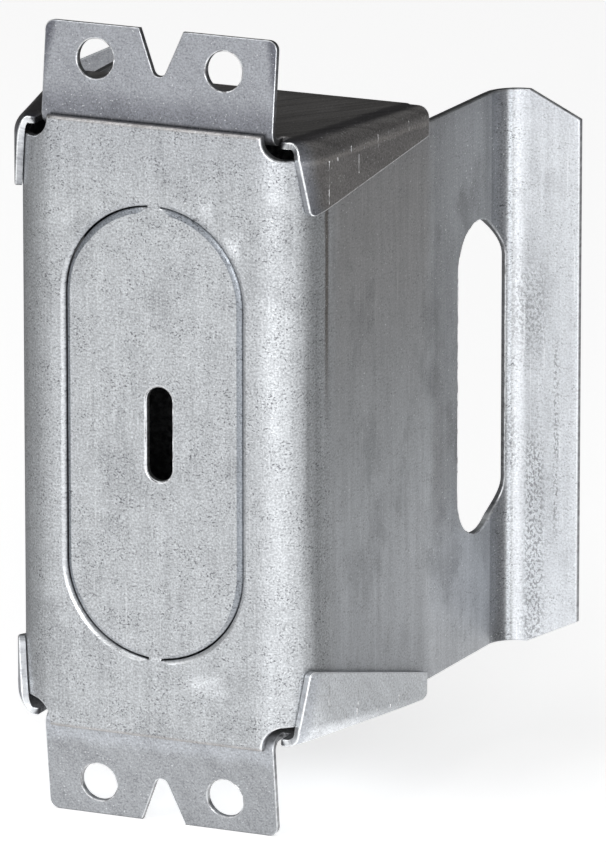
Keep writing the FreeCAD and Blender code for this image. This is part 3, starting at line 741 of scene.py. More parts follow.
    @staticmethod
    def _mask(g: Graph, sheet: bpy.types.NodeSocket, band: ToneBand) -> bpy.types.NodeSocket:
        """Where a tone band lies.

        Args:
            g: The nodes to add to.
            sheet: Flat coordinates.
            band: The band.

        Returns:
            1 in the band, 0 outside it, with a soft or ragged border.
        """
        across, height, _ = g.add("ShaderNodeSeparateXYZ", {0: sheet}).outputs
        along = band.axis in (FlatAxis.ALONG, FlatAxis.FROM_WAIST)
        value, other = (height, across) if along else (across, height)
        if band.axis not in (FlatAxis.ACROSS, FlatAxis.ALONG):
            value = g.math("ABSOLUTE", value)
        if band.axis is FlatAxis.ACROSS_FLARE:
            flare = math.radians(WALL_FLARE)
            square = g.math("MULTIPLY", value, math.cos(flare))
            value = g.plus(square, g.math("ABSOLUTE", height), math.sin(flare))
        if band.ragged:
            stretch = (0.35, 0.12) if along else (0.12, 0.35)
            rag = g.noise(g.stretch(sheet, *stretch, 4.0), 1.0, 4.0, 0.65)
            value = g.plus(value, g.math("SUBTRACT", rag, 0.5), band.ragged)
        mask = g.window(value, band.low, band.high, band.soft)
        if band.reach:
            mask = g.math("MULTIPLY", mask, g.window(other, *band.reach, band.fade))
        return mask


@dataclass(frozen=True)
class BareZinc:
    """Bright zinc torn up in burrs and flakes."""

    name: str = "torn_zinc"
    bright: Tone = (0.85, 0.86, 0.87)
    dull: Tone = (0.30, 0.30, 0.31)
    metallic: float = 0.8

    def material(self) -> bpy.types.Material:
        """Make the material, mottled by place.

        Returns:
            The material.
        """
        made = bpy.data.materials.new(self.name)
        made.use_nodes = True
        g = Graph(made.node_tree)
        spots = g.noise(g.add("ShaderNodeTexCoord").outputs["Object"], 900.0, 2.0, 0.6)
        g.feed(made.node_tree.nodes["Principled BSDF"], {
            "Base Color": g.blend(g.remap(spots, 0.4, 0.6), self.dull, self.bright),
            "Roughness": g.remap(spots, 0.3, 0.7, 0.45, 0.28),
            "Metallic": self.metallic,
        })
        return made


BODY_FINISH = ZincFinish(
    "zinc_body",
    bands=(
        # Walls: calm grain, a dark line by the corner bend and a faint one on it, then painted light and
        # shade: the walls darker above and lighter below, the rear walls darker still.
        ToneBand(FlatAxis.FROM_MIDDLE, 32.0, 84.0, 2.0, calm=0.55),
        ToneBand(FlatAxis.FROM_MIDDLE, 30.7, 31.6, 0.3, (0.42, 0.38, 0.35), 0.5, (10.0, 60.0), 12.0),
        ToneBand(FlatAxis.FROM_MIDDLE, 26.4, 27.0, 0.4, (0.80, 0.80, 0.80), 0.4, (-12.0, 14.0), 5.0),
        ToneBand(FlatAxis.FROM_MIDDLE, 33.0, 60.5, 2.5, (0.86, 0.83, 0.81), 3.0, (12.0, 80.0), 24.0),
        ToneBand(FlatAxis.FROM_MIDDLE, 33.0, 60.5, 2.5, (1.20, 1.20, 1.21), 3.0, (-80.0, -18.0), 16.0),
        ToneBand(FlatAxis.FROM_MIDDLE, 60.5, 83.0, 2.0, (0.58, 0.57, 0.56), 2.0, (-22.0, 80.0), 14.0),
        ToneBand(FlatAxis.FROM_MIDDLE, 60.5, 83.0, 2.0, (0.90, 0.90, 0.91), 2.0, (-80.0, -22.0), 14.0),
        # Wings: painted shade and a painted highlight in the bend, chalky zinc brightened as painted light,
        # the left wing darkened as painted shade, and eaten patches.
        ToneBand(FlatAxis.FROM_MIDDLE, 82.8, 86.2, 0.3, (0.55, 0.55, 0.56), 0.3),
        ToneBand(FlatAxis.FROM_MIDDLE, 86.5, 87.1, 0.2, (1.40, 1.42, 1.44), 0.2, chalky=0.3),
        ToneBand(FlatAxis.FROM_MIDDLE, 87.6, 120.0, 0.5, (1.50, 1.50, 1.51), 0.5, chalky=0.62, calm=0.4),
        ToneBand(FlatAxis.ACROSS, -120.0, -84.0, 0.5, (0.46, 0.46, 0.47)),
        ToneBand(FlatAxis.FROM_MIDDLE, 87.4, 93.0, 1.2, UNTINTED, 2.0, (3.0, 17.0), 5.0, pitted=0.6),
        ToneBand(FlatAxis.FROM_MIDDLE, 89.4, 92.8, 0.9, UNTINTED, 1.6, (-49.0, -11.0), pitted=0.8),
        ToneBand(FlatAxis.FROM_MIDDLE, 94.5, 95.4, 0.4, UNTINTED, 0.8, (-28.0, 4.0), 4.0, pitted=0.8),
        ToneBand(FlatAxis.FROM_MIDDLE, 85.0, 88.2, 0.8, UNTINTED, 1.5, (-18.0, -8.0), 3.0, pitted=0.6),
        # Panel: stained top and bottom edges, a duller upper end, and painted highlights on the dents near
        # the slug's ends.
        ToneBand(FlatAxis.FROM_WAIST, 50.3, 53.0, 0.25, (0.70, 0.64, 0.60), 0.2),
        ToneBand(FlatAxis.ALONG, 42.0, 60.0, 6.0, (0.92, 0.92, 0.93), 2.0),
        ToneBand(FlatAxis.ALONG, 30.5, 34.5, 1.2, (1.30, 1.30, 1.30), 2.0, (14.0, 15.6), 1.0, chalky=0.3),
        ToneBand(FlatAxis.ALONG, 36.0, 40.0, 1.2, (1.30, 1.30, 1.30), 2.0, (9.6, 10.6), 0.8, chalky=0.3),
        ToneBand(FlatAxis.ALONG, -42.5, -39.5, 0.9, (1.25, 1.25, 1.25), 2.0, (6.0, 12.5), 2.0, chalky=0.3),
    ),
)
STRAP_FINISH = ZincFinish(
    "zinc_strap",
    pits=0.45,
    mottle=0.8,
    streak_turn=-37.0,
    bands=(
        # Upper end panel and its flaps: brown and streaked, darkened partly as a painted dark reflection,
        # with a dark and a pale line along the bends.
        ToneBand(FlatAxis.ALONG, 48.0, 82.5, 1.5, (0.60, 0.56, 0.53), 3.0),
        ToneBand(FlatAxis.ACROSS_FLARE, -1.0, 42.6, 1.2, reach=(50.0, 82.0), fade=2.0, streaked=0.9),
        ToneBand(FlatAxis.ACROSS_FLARE, 37.6, 40.8, 0.8, (0.42, 0.42, 0.45), 1.2, (40.0, 130.0)),
        ToneBand(FlatAxis.ACROSS_FLARE, 44.2, 45.0, 0.3, (1.30, 1.28, 1.26), 0.6, (40.0, 130.0)),
        # Lower end panel and its flaps: chalky, and made pale as painted light.
        ToneBand(FlatAxis.ALONG, -82.5, -48.0, 1.5, (1.35, 1.35, 1.35), 3.0, chalky=0.4),
        # Flanges: a little dull, with painted shade on the upper one's foot and a painted highlight on the
        # lower one's foot.
        ToneBand(FlatAxis.ALONG, 82.5, 120.0, 1.0, (0.76, 0.76, 0.79), 1.0),
        ToneBand(FlatAxis.ALONG, 82.5, 87.0, 2.5, (0.62, 0.62, 0.64), 1.0),
        ToneBand(FlatAxis.ALONG, -120.0, -82.5, 1.0, (0.74, 0.74, 0.75), 1.0),
        ToneBand(FlatAxis.ALONG, -86.0, -82.5, 1.0, (1.20, 1.21, 1.23), 2.0, chalky=0.2),
    ),
)


@dataclass
class BentSheet:
    """A piece bent from sheet: its name, its slot, the solid that it stands for, its finish and thickness.

    Each kind of sheet knows its cuts, and where a point of its flat pattern lies.
    """

    name: str
    slot: str
    node: str
    finish: ZincFinish
    thickness: float = 1.2

    def build(self, effects: EffectLibrary) -> bpy.types.Object:
        """Mesh the sheet, finish it and let it stand for its solid.

        Args:
            effects: The shared surface effects.

        Returns:
            The finished piece.
        """
        piece = SheetMesher(self).build(self.name)
        piece.data.materials.append(self.finish.material(effects))
        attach(piece, "root")
        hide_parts(self.node)
        return piece

    def place(self, u: float, v: float, depth: float) -> Vector:
        """Where a point of the flat pattern lies, at a depth behind its face."""
        raise NotImplementedError

    def cut_edges(self) -> list[CutEdge]:
        """Every cut through the sheet, its outline first."""
        raise NotImplementedError

    def punched_edges(self) -> list[CutEdge]:
        """The cuts whose edges a punch left torn."""
        raise NotImplementedError

    def stops(self) -> list[Pair]:
        """Flat points to carry the sheet's bends and dents between its cuts."""
        raise NotImplementedError

    def painted_inner_shade(self, u: float, v: float, skin: Skin) -> float:
        """How much painted shade darkens a face at a flat point, 0 where it is lit, up to 1 inside the box.
        """
        raise NotImplementedError


class SheetMesher:
    """Turns a bent sheet into one closed mesh with rounded cut edges and exact normals."""

    # Where torn ridges lie on an edge's rounding, in shares of its width and depth.
    RIDGE_LINE: Pair = (0.4, 0.2)
    # The least distance of a stop from the nearest edge.
    CLEARANCE: float = 0.3

    def __init__(self, sheet: BentSheet) -> None:
        """Start an empty mesh.

        Args:
            sheet: The sheet to mesh.
        """
        self.sheet = sheet
        self.points: list[Vector] = []
        self.normals: list[Vector] = []
        self.flat: list[Pair] = []
        self.marks: list[Triple] = []
        self.faces: list[tuple[int, ...]] = []

    def build(self, name: str) -> bpy.types.Object:
        """Make the mesh object.

        Args:
            name: Name of the piece.

        Returns:
            The object, at the origin.
        """
        rings: dict[Skin, list[list[int]]] = {Skin.FACE: [], Skin.BACK: []}
        for edge in self.sheet.cut_edges():
            front = self._hem(edge, Skin.FACE)
            rear = self._hem(edge, Skin.BACK)
            self._strips(front + rear[::-1])
            rings[Skin.FACE].append(front[0])
            rings[Skin.BACK].append(rear[0])
        stops = np.array(self.sheet.stops())
        for skin, loops in rings.items():
            self._fill(skin, loops, stops)
        return self._write(name)

    def rim(self, edge: CutEdge) -> list[Vector]:
        """The line of a torn ridge along an edge's rounding on the face.

        Args:
            edge: The edge.

        Returns:
            The points of the line.
        """
        wide, deep = self.RIDGE_LINE
        return [
            self.sheet.place(u + mu * wide * dress.width, v + mv * wide * dress.width, deep * dress.depth)
            for (u, v), (mu, mv), dress in zip(edge.face, self._inward(edge.face), edge.dress)
        ]

    def _write(self, name: str) -> bpy.types.Object:
        """Put the gathered points and faces into a new object.

        Args:
            name: Name of the piece.

        Returns:
            The object.
        """
        mesh = bpy.data.meshes.new(name)
        mesh.from_pydata([p * MM for p in self.points], [], self.faces)
        mesh.polygons.foreach_set("use_smooth", [True] * len(mesh.polygons))
        layer = mesh.uv_layers.new(name="flat_sheet")
        for loop in mesh.loops:
            u, v = self.flat[loop.vertex_index]
            layer.data[loop.index].uv = (u / FLAT_UNIT, v / FLAT_UNIT)
        # The marks carry rubbed zinc with a painted highlight, drawn bands darkened partly as painted
        # shade, and painted shade.
        for key, values in zip(("worn_edge_sheen", "sheared_band_shade", "painted_shade"), zip(*self.marks)):
            mesh.attributes.new(key, "FLOAT", "POINT").data.foreach_set("value", values)
        mesh.normals_split_custom_set_from_vertices([n.normalized() for n in self.normals])
        mesh.update()
        piece = bpy.data.objects.new(name, mesh)
        bpy.context.scene.collection.objects.link(piece)
        return piece

    def _add(self, point: Vector, normal: Vector, flat: Pair, marks: Triple) -> int:
        """Keep one vertex.

        Args:
            point: Its place.
            normal: Its normal.
            flat: Its place in the flat pattern.
            marks: How rubbed and highlighted, how strongly drawn and shaded, and how much painted shade it
                has.

        Returns:
            Its number.
        """
        self.points.append(point)
        self.normals.append(normal)
        self.flat.append(flat)
        self.marks.append(marks)
        return len(self.points) - 1

    def _spot(self, u: float, v: float, depth: float, skin: Skin) -> int:
        """Keep a vertex in the middle of a face and return its number."""
        marks = (0.0, 0.0, self.sheet.painted_inner_shade(u, v, skin))
        return self._add(self.sheet.place(u, v, depth), self._normal(u, v, depth, skin), (u, v), marks)

    def _normal(self, u: float, v: float, depth: float, skin: Skin) -> Vector:
        """Slope of one face.

        Args:
            u: Flat distance from the middle.
            v: Flat height.
            depth: Depth behind the face.
            skin: Which face it is.

        Returns:
            The outward normal.
        """
        place = self.sheet.place
        along = place(u + NUDGE, v, depth) - place(u - NUDGE, v, depth)
        up = place(u, v + NUDGE, depth) - place(u, v - NUDGE, depth)
        return along.cross(up).normalized() * skin.value

    @staticmethod
    def _inward(loop: Sequence[Pair]) -> list[Pair]:
        """Directions into the material.

        Args:
            loop: A closed cut.

        Returns:
            The mitred direction at each of its points.
        """
        count = len(loop)
        found: list[Pair] = []
        for i in range(count):
            (x0, y0), (x1, y1), (x2, y2) = loop[i - 1], loop[i], loop[(i + 1) % count]
            a = math.hypot(x1 - x0, y1 - y0) or 1.0
            b = math.hypot(x2 - x1, y2 - y1) or 1.0
            n0 = (-(y1 - y0) / a, (x1 - x0) / a)
            n1 = (-(y2 - y1) / b, (x2 - x1) / b)
            k = max(0.5, 1 + n0[0] * n1[0] + n0[1] * n1[1])
            found.append(((n0[0] + n1[0]) / k, (n0[1] + n1[1]) / k))
        return found

    def _hem(self, edge: CutEdge, skin: Skin) -> list[list[int]]:
        """Round off one face at an edge.

        Args:
            edge: The edge.
            skin: The face.

        Returns:
            Rings of vertices from the face over the rounding onto the cut wall.
        """
        on_face = skin is Skin.FACE
        loop = edge.face if on_face else edge.back
        kind = edge.kind if on_face else EdgeKind.WORN
        base = 0.0 if on_face else self.sheet.thickness
        place, steps = self.sheet.place, RIMS[kind].steps
        ways = self._inward(loop)
        rings: list[list[int]] = []
        for k, (inset, drop) in enumerate(steps):
            before, after = steps[max(k - 1, 0)], steps[min(k + 1, len(steps) - 1)]
            ring: list[int] = []
            for (u, v), (mu, mv), dress in zip(loop, ways, edge.dress):
                width, deep = (dress.width, dress.depth) if on_face else edge.back_roll
                pu, pv = u + mu * inset * width, v + mv * inset * width
                up = self._normal(pu, pv, base, skin)
                out = place(pu - mu * NUDGE, pv - mv * NUDGE, base) - place(pu, pv, base)
                out.normalize()
                rise, run = (before[0] - after[0]) * width, (after[1] - before[1]) * deep
                if k == 0:
                    rise, run = 1.0, 0.0
                elif k == len(steps) - 1 and kind is EdgeKind.WORN:
                    rise, run = 0.0, 1.0
                point = place(pu, pv, base + drop * deep * skin.value)
                marks = self._rim_marks(edge.kind, dress, RIMS[kind], k, self.sheet.painted_inner_shade(u, v, skin))
                ring.append(self._add(point, up * rise + out * run, (pu, pv), marks))
            rings.append(ring)
        return rings

    @staticmethod
    def _rim_marks(made: EdgeKind, dress: EdgeDress, rim: RimProfile, ring: int, dull: float) -> Triple:
        """Marks of one point of a rounding.

        Args:
            made: How the edge was made.
            dress: The edge at this point.
            rim: The rounding.
            ring: Number of the ring in it.
            dull: How much painted shade the face has here.

        Returns:
            How rubbed and highlighted, how strongly drawn and shaded, and how much painted shade the point
            has.
        """
        bare_sheen = rim.wear_and_sheen[ring] * dress.bare_sheen
        if made is EdgeKind.SHEARED:
            return bare_sheen, dress.dark if ring else 0.0, dull
        return bare_sheen, 0.0, max(dull, dress.dark if ring == len(rim.steps) - 1 else 0.0)

    def _strips(self, rings: list[list[int]]) -> None:
        """Close neighbouring rings with quads.

        Args:
            rings: Rings with the same number of vertices.
        """
        for one, two in zip(rings, rings[1:]):
            count = len(one)
            for i in range(count):
                j = (i + 1) % count
                self.faces.append((one[i], two[i], two[j], one[j]))

    def _fill(self, skin: Skin, loops: list[list[int]], stops: np.ndarray) -> None:
        """Triangulate one face between its innermost rings.

        Args:
            skin: The face.
            loops: Vertices of its rings.
            stops: Flat points to use between them.
        """
        coords: list[Vector] = []
        ids: list[int] = []
        edges: list[tuple[int, int]] = []
        for loop in loops:
            base = len(coords)
            coords.extend(Vector(self.flat[i]) for i in loop)
            ids.extend(loop)
            edges.extend((base + k, base + (k + 1) % len(loop)) for k in range(len(loop)))
        depth = 0.0 if skin is Skin.FACE else self.sheet.thickness
        held, near = self._measure(coords, edges, stops)
        for u, v in stops[held & (near > self.CLEARANCE)]:
            ids.append(self._spot(u, v, depth, skin))
            coords.append(Vector((u, v)))
        out, _, triangles, origin, _, _ = geometry.delaunay_2d_cdt(coords, edges, [], 0, 1e-7)
        names = [ids[came[0]] if came else self._spot(*p, depth, skin) for p, came in zip(out, origin)]
        middles = np.array([sum((out[k] for k in tri), Vector((0.0, 0.0))) / 3 for tri in triangles])
        held, _ = self._measure(coords, edges, middles)
        for tri, kept in zip(triangles, held):
            if not kept:
                continue
            a, b, c = (out[k] for k in tri)
            turn = (b - a).cross(c - a)
            corners = tuple(names[k] for k in tri)
            self.faces.append(corners if (turn > 0) == (skin is Skin.FACE) else corners[::-1])

    @staticmethod
    def _measure(
        ring: list[Vector], edges: list[tuple[int, int]], p: np.ndarray
    ) -> tuple[np.ndarray, np.ndarray]:
        """Compare flat points with the edges of a face.

        Args:
            ring: Points of all the loops.
            edges: Pairs of numbers of points that follow each other.
            p: The points to compare.

        Returns:
            Whether each lies in the material, and how far from its nearest edge.
        """
        odd = np.zeros(len(p), bool)
        near = np.full(len(p), np.inf)
        for i, j in edges:
            (ax, ay), (bx, by) = ring[i], ring[j]
            if abs(by - ay) > 1e-12:
                crosses = (ay > p[:, 1]) != (by > p[:, 1])
                odd ^= crosses & (p[:, 0] < (bx - ax) * (p[:, 1] - ay) / (by - ay) + ax)
            d = np.array([bx - ax, by - ay])
            k = np.clip(((p - [ax, ay]) @ d) / max(d @ d, 1e-12), 0, 1)
            near = np.minimum(near, np.hypot(*(p - [ax, ay] - k[:, None] * d).T))
        return odd, near


@dataclass(frozen=True)
class Dent:
    """A shallow dent that the shear left in the panel: middle, half widths, turn in degrees and depth."""

    middle: Pair
    reach: Pair
    turn: float
    deep: float

    def depth(self, x: float, z: float) -> float:
        """Shape of the dent.

        Args:
            x: Distance from the panel's middle.
            z: Height.

        Returns:
            How far the panel is pressed in.
        """
        a = math.radians(self.turn)
        dx, dz = x - self.middle[0], z - self.middle[1]
        along = (dx * math.cos(a) + dz * math.sin(a)) / self.reach[0]
        across = (dz * math.cos(a) - dx * math.sin(a)) / self.reach[1]
        return self.deep * math.exp(-(along * along + across * across))


@dataclass
class InsertBody(BentSheet):
    """Front panel, flared walls and anchor wings, bent from one sheet with a knock-out sheared in it.

    The rolls are the width and depth of the shear lines' rounding, first where it is plain and then where
    it is drawn most. The last ranges are where dents begin and end, and where the back's painted shade
    fades out.
    """

    panel_flat: float = 34.0
    corner_radius: float = 9.4
    wall_flare: float = WALL_FLARE
    kink_depth: float = 35.6
    kink_radius: float = 16.0
    rear_flare: float = 2.5
    wing_depth: float = 64.2
    wing_radius: float = 4.8
    overall_width: float = 93.8
    tongue_width: float = 37.8
    panel_height: float = 101.6
    wall_height: float = 93.6
    step_radius: float = 3.5
    taper_run: float = 9.0
    taper_drop: float = 4.3
    slot_front: float = 47.6
    slot_width: float = 15.0
    slot_height: float = 52.6
    slug_width: float = 30.7
    slug_height: float = 74.7
    shear_gap: float = 0.35
    bridge_width: float = 2.2
    bridge_ease: float = 0.9
    bridge_slope: Pair = (-0.5, 0.9)
    slug_set: float = 0.4
    pry_width: float = 4.4
    pry_height: float = 15.5
    pry_offset: float = 0.8
    row_step: float = 2.6
    # Each edge's third value brightens its rounding as rubbed zinc with a painted highlight, and its last
    # puts painted shade on its wall.
    panel_edge: EdgeDress = EdgeDress(0.6, 0.4, 0.3, 0.4)
    step_edge: EdgeDress = EdgeDress(0.45, 0.35, 1.0, 0.45)
    wall_edge: EdgeDress = EdgeDress(0.3, 0.25, 0.45, 0.85)
    slot_edge: EdgeDress = EdgeDress(0.35, 0.3, 0.6, 0.1)
    pry_edge: EdgeDress = EdgeDress(0.55, 0.42, 1.0, 1.0)
    rim_rolls: tuple[Pair, Pair] = ((0.60, 0.24), (0.72, 0.52))
    slug_rolls: tuple[Pair, Pair] = ((0.95, 0.34), (0.50, 0.18))
    bridge_roll: Pair = (0.12, 0.1)
    dents: tuple[Dent, ...] = (
        Dent((14.8, 32.6), (2.4, 1.3), -50.0, 0.45),
        Dent((9.6, 38.4), (2.2, 1.2), -75.0, 0.40),
        Dent((11.0, -39.6), (4.2, 1.2), 24.0, 0.40),
        Dent((-14.2, 34.2), (3.0, 1.4), 45.0, 0.20),
        Dent((-9.5, -40.2), (4.0, 1.3), -22.0, 0.25),
        Dent((0.6, 40.6), (1.7, 0.8), 0.0, 0.30),
        Dent((0.4, -40.6), (1.9, 0.8), 0.0, 0.30),
    )
    dent_start: Pair = (0.2, 1.2)
    dent_end: Pair = (14.4, 16.6)
    inner_shade_fade: Pair = (52.0, 58.0)

    def __post_init__(self) -> None:
        """Lay out the half plan from the panel's middle to a wing tip."""
        beta, phi = math.radians(self.wall_flare), math.radians(self.rear_flare)
        a, rc, rk, rw = self.panel_flat / 2, self.corner_radius, self.kink_radius, self.wing_radius
        corner_y = rc - rc * math.sin(beta)
        wall = (self.kink_depth - corner_y) / math.cos(beta)
        after_y = self.kink_depth + rk * (math.sin(beta) - math.sin(phi))
        rear = (self.wing_depth - rw + rw * math.sin(phi) - after_y) / math.cos(phi)
        runs = [
            (a, 0.0), (rc * (math.pi / 2 - beta), 1 / rc), (wall, 0.0), (rk * (beta - phi), 1 / rk),
            (rear, 0.0), (rw * (math.pi / 2 - phi), -1 / rw),
        ]
        self.plan = BendLine((0.0, 0.0), 0.0, [*runs, (1.0, 0.0)])
        self.wall_start = self.plan.knots[2][0]
        self.wing_start = self.plan.knots[6][0]
        tip = self.overall_width / 2 - self.plan.knots[6][1]
        self.plan = BendLine((0.0, 0.0), 0.0, [*runs, (tip, 0.0)])

    def sink(self, x: float, z: float) -> float:
        """How far the front panel lies behind its plane at a point of its flat.

        Args:
            x: Distance from the middle.
            z: Height.

        Returns:
            Depth in millimetres.
        """
        r = self.slug_width / 2
        up = max(0.0, abs(z) - (self.slug_height / 2 - r))
        away = math.hypot(x, up) - r
        cut = self.slug_set if away < self.shear_gap / 2 else 0.0
        half = self.bridge_width / 2
        bridge = 1 - smooth_step(half, half + self.bridge_ease, abs(x))
        if abs(z) < self.slug_height / 4:
            bridge = 0.0
        eased = self.slug_set * (1 - smooth_step(*self.bridge_slope, away))
        dent = sum(d.depth(x, z) for d in self.dents) if away > 0 else 0.0
        held = smooth_step(*self.dent_start, away) * (1 - smooth_step(*self.dent_end, abs(x)))
        return cut + (eased - cut) * bridge + dent * held

    def place(self, u: float, v: float, depth: float) -> Vector:
        """Where a point of the flat pattern lies.

        Args:
            u: Flat distance from the middle.
            v: Height.
            depth: Depth behind the outer face.

        Returns:
            The place.
        """
        x, y = self.plan.at(abs(u), depth)
        if abs(u) < self.panel_flat / 2:
            y += self.sink(u, v)
        return Vector((math.copysign(x, u), y, v))

    def painted_inner_shade(self, u: float, v: float, skin: Skin) -> float:
        """The sheet's back gets painted shade as far as the strap closes the box."""
        return INNER_PAINTED_SHADE * (1 - smooth_step(*self.inner_shade_fade, abs(u))) if skin is Skin.BACK else 0.0

    def across(self, x: float, depth: float) -> float:
        """Flat distance from the middle at which the sheet reaches a sideways distance."""
        s = self.plan.find(0, abs(x), depth, 0.0, self.plan.length + 1.0)
        return math.copysign(s, x)

    def inward(self, y: float, depth: float) -> float:
        """Flat distance from the middle at which a wall reaches a depth into the concrete."""
        return self.plan.find(1, y, depth, self.wall_start, self.wing_start)

    def cut_edges(self) -> list[CutEdge]:
        """Outline, wall slots, shear lines and pry slot."""
        return [self._outline(), *self._wall_slots(), *self._shear_lines(), self._pry_slot()]

    def punched_edges(self) -> list[CutEdge]:
        """Wall slots and pry slot."""
        return [*self._wall_slots(), self._pry_slot()]

    def stops(self) -> list[Pair]:
        """Rows along the bends, and close grids round the bridges and over the dents.

        Returns:
            The flat points.
        """
        top, crown = self.panel_height / 2, self.slug_height / 2
        found: list[Pair] = []
        for s, step in self.plan.rows(self.row_step, 7.0):
            for z in spread(-top, top, max(0.9, step)):
                found.append((s, z))
                if s > 0:
                    found.append((-s, z))
        half_grid, grid_step, off_middle = 3.0, 0.3, 0.01
        for x in spread(-half_grid, half_grid, grid_step):
            for dz in spread(-1.4, 1.9, grid_step):
                found.append((x + off_middle, crown + dz))
                found.append((x + off_middle, -crown - dz))
        for dent in self.dents:
            x, z = dent.middle
            wide = 1.6 * max(dent.reach)
            offsets = spread(-wide, wide, 0.55)
            found.extend(
                (x + dx, z + dz) for dx in offsets for dz in offsets if abs(x + dx) > half_grid + 0.2
            )
        return found

    def _outline(self) -> CutEdge:
        """The sheet's outer edge: wing tips, sloped wing ends, wall edges and the panel's tongues.

        Returns:
            The edge.
        """
        tip, top, level = self.overall_width / 2, self.panel_height / 2, self.wall_height / 2
        xs, rs = self.tongue_width / 2, self.step_radius
        start = self.across(tip - self.taper_run, 0.0)
        end = self.across(xs + rs, 0.0)
        rows = [s for s, _ in reversed(self.plan.rows(self.row_step, 5.0)) if end < s < start]
        loop = four_fold(chain(
            run_of((tip, 0.0), (tip, level - self.taper_drop), self.row_step),
            run_of((tip, level - self.taper_drop), (tip - self.taper_run, level), 1.5),
            [(self.plan.at(s)[0], level) for s in rows],
            arc_of((xs + rs, level + rs), rs, 270, 180, 0.4),
            run_of((xs, level + rs), (xs, top), 0.5),
            run_of((xs, top), (0.0, top), 1.5),
        ))
        face, back = ([(self.across(x, depth), z) for x, z in loop] for depth in (0.0, self.thickness))
        return CutEdge(face, back, [self._edge_dress(z) for _, z in loop])

    def _edge_dress(self, z: float) -> EdgeDress:
        """The outline at a height: the panel's end, its stepped side, or a wall and a wing.

        Args:
            z: The height.

        Returns:
            The edge there.
        """
        if abs(z) > self.panel_height / 2 - CLOSE:
            return self.panel_edge
        return self.step_edge if abs(z) > self.wall_height / 2 + CLOSE else self.wall_edge

    def _wall_slots(self) -> list[CutEdge]:
        """The round-ended slot in each wall, punched square to the sheet.

        Returns:
            The right slot and the left one.
        """
        centre = (self.slot_front + self.slot_width / 2, 0.0)
        loop = obround(centre, self.slot_width, self.slot_height, 0.6)[::-1]
        right = [(self.inward(y, 0.0), z) for y, z in loop]
        left = [(-u, v) for u, v in reversed(right)]
        return [CutEdge(slot, slot, [self.slot_edge] * len(slot)) for slot in (right, left)]

    def _half_oval(self, radius: float, way: int) -> list[Pair]:
        """The right half of an oval about the slug, from bridge to bridge.

        Args:
            radius: Radius of its ends.
            way: 1 to run down and -1 to run up.

        Returns:
            Its points.
        """
        z = way * (self.slug_height / 2 - self.slug_width / 2)
        turn = way * math.degrees(math.acos(self.bridge_width / 2 / radius))
        end_step, side_step = 0.7, 1.5
        return chain(
            arc_of((0, z), radius, turn, 0, end_step),
            run_of((radius, z), (radius, -z), side_step),
            arc_of((0, -z), radius, 0, -turn, end_step),
        )

    def _shear_lines(self) -> list[CutEdge]:
        """The open line round the slug, in two halves that stop at the bridges.

        Returns:
            The right half and the left one.
        """
        rim = self._half_oval(self.slug_width / 2 + self.shear_gap, 1)
        slug = self._half_oval(self.slug_width / 2, -1)
        found: list[CutEdge] = []
        for side in (1, -1):
            loop = [*rim, *slug]
            dress = [self._shear_dress(x, z, side, line is rim) for line in (rim, slug) for x, z in line]
            if side < 0:
                loop, dress = [(-x, z) for x, z in reversed(loop)], dress[::-1]
            found.append(CutEdge(loop, loop, dress, kind=EdgeKind.SHEARED))
        return found

    def _shear_dress(self, x: float, z: float, side: int, on_rim: bool) -> EdgeDress:
        """The rounding of a shear line, which the blade drew most at the lower end and on the left.

        Args:
            x: Distance from the middle.
            z: Height.
            side: 1 on the right and -1 on the left.
            on_rim: Whether it is the panel's edge, not the slug's.

        Returns:
            The edge at this point.
        """
        r, half = self.slug_width / 2, self.bridge_width / 2
        low = smooth_step(0.15, 0.75, -(z + self.slug_height / 2 - r) / r)
        drawn = max(low, smooth_step(0.75, 0.99, -side * x / r))
        free = smooth_step(half, half + 2.0, abs(x))
        plain, most = self.rim_rolls if on_rim else self.slug_rolls
        width, depth = (
            held + (one + (two - one) * drawn - held) * free
            for held, one, two in zip(self.bridge_roll, plain, most)
        )
        if on_rim:
            # The rim's brightness is rubbed zinc with a painted highlight, and the band's strength darkens
            # it partly as painted shade.
            return EdgeDress(width, depth, 0.38 * drawn + 0.5 * low, 0.3 - 0.25 * low)
        return EdgeDress(width, depth, 0.0, free * (1.0 - 0.6 * low))

    def _pry_slot(self) -> CutEdge:
        """The slot for the blade that breaks the slug loose."""
        loop = obround((self.pry_offset, 0.0), self.pry_width, self.pry_height, 0.35)[::-1]
        return CutEdge(loop, loop, [self.pry_edge] * len(loop))


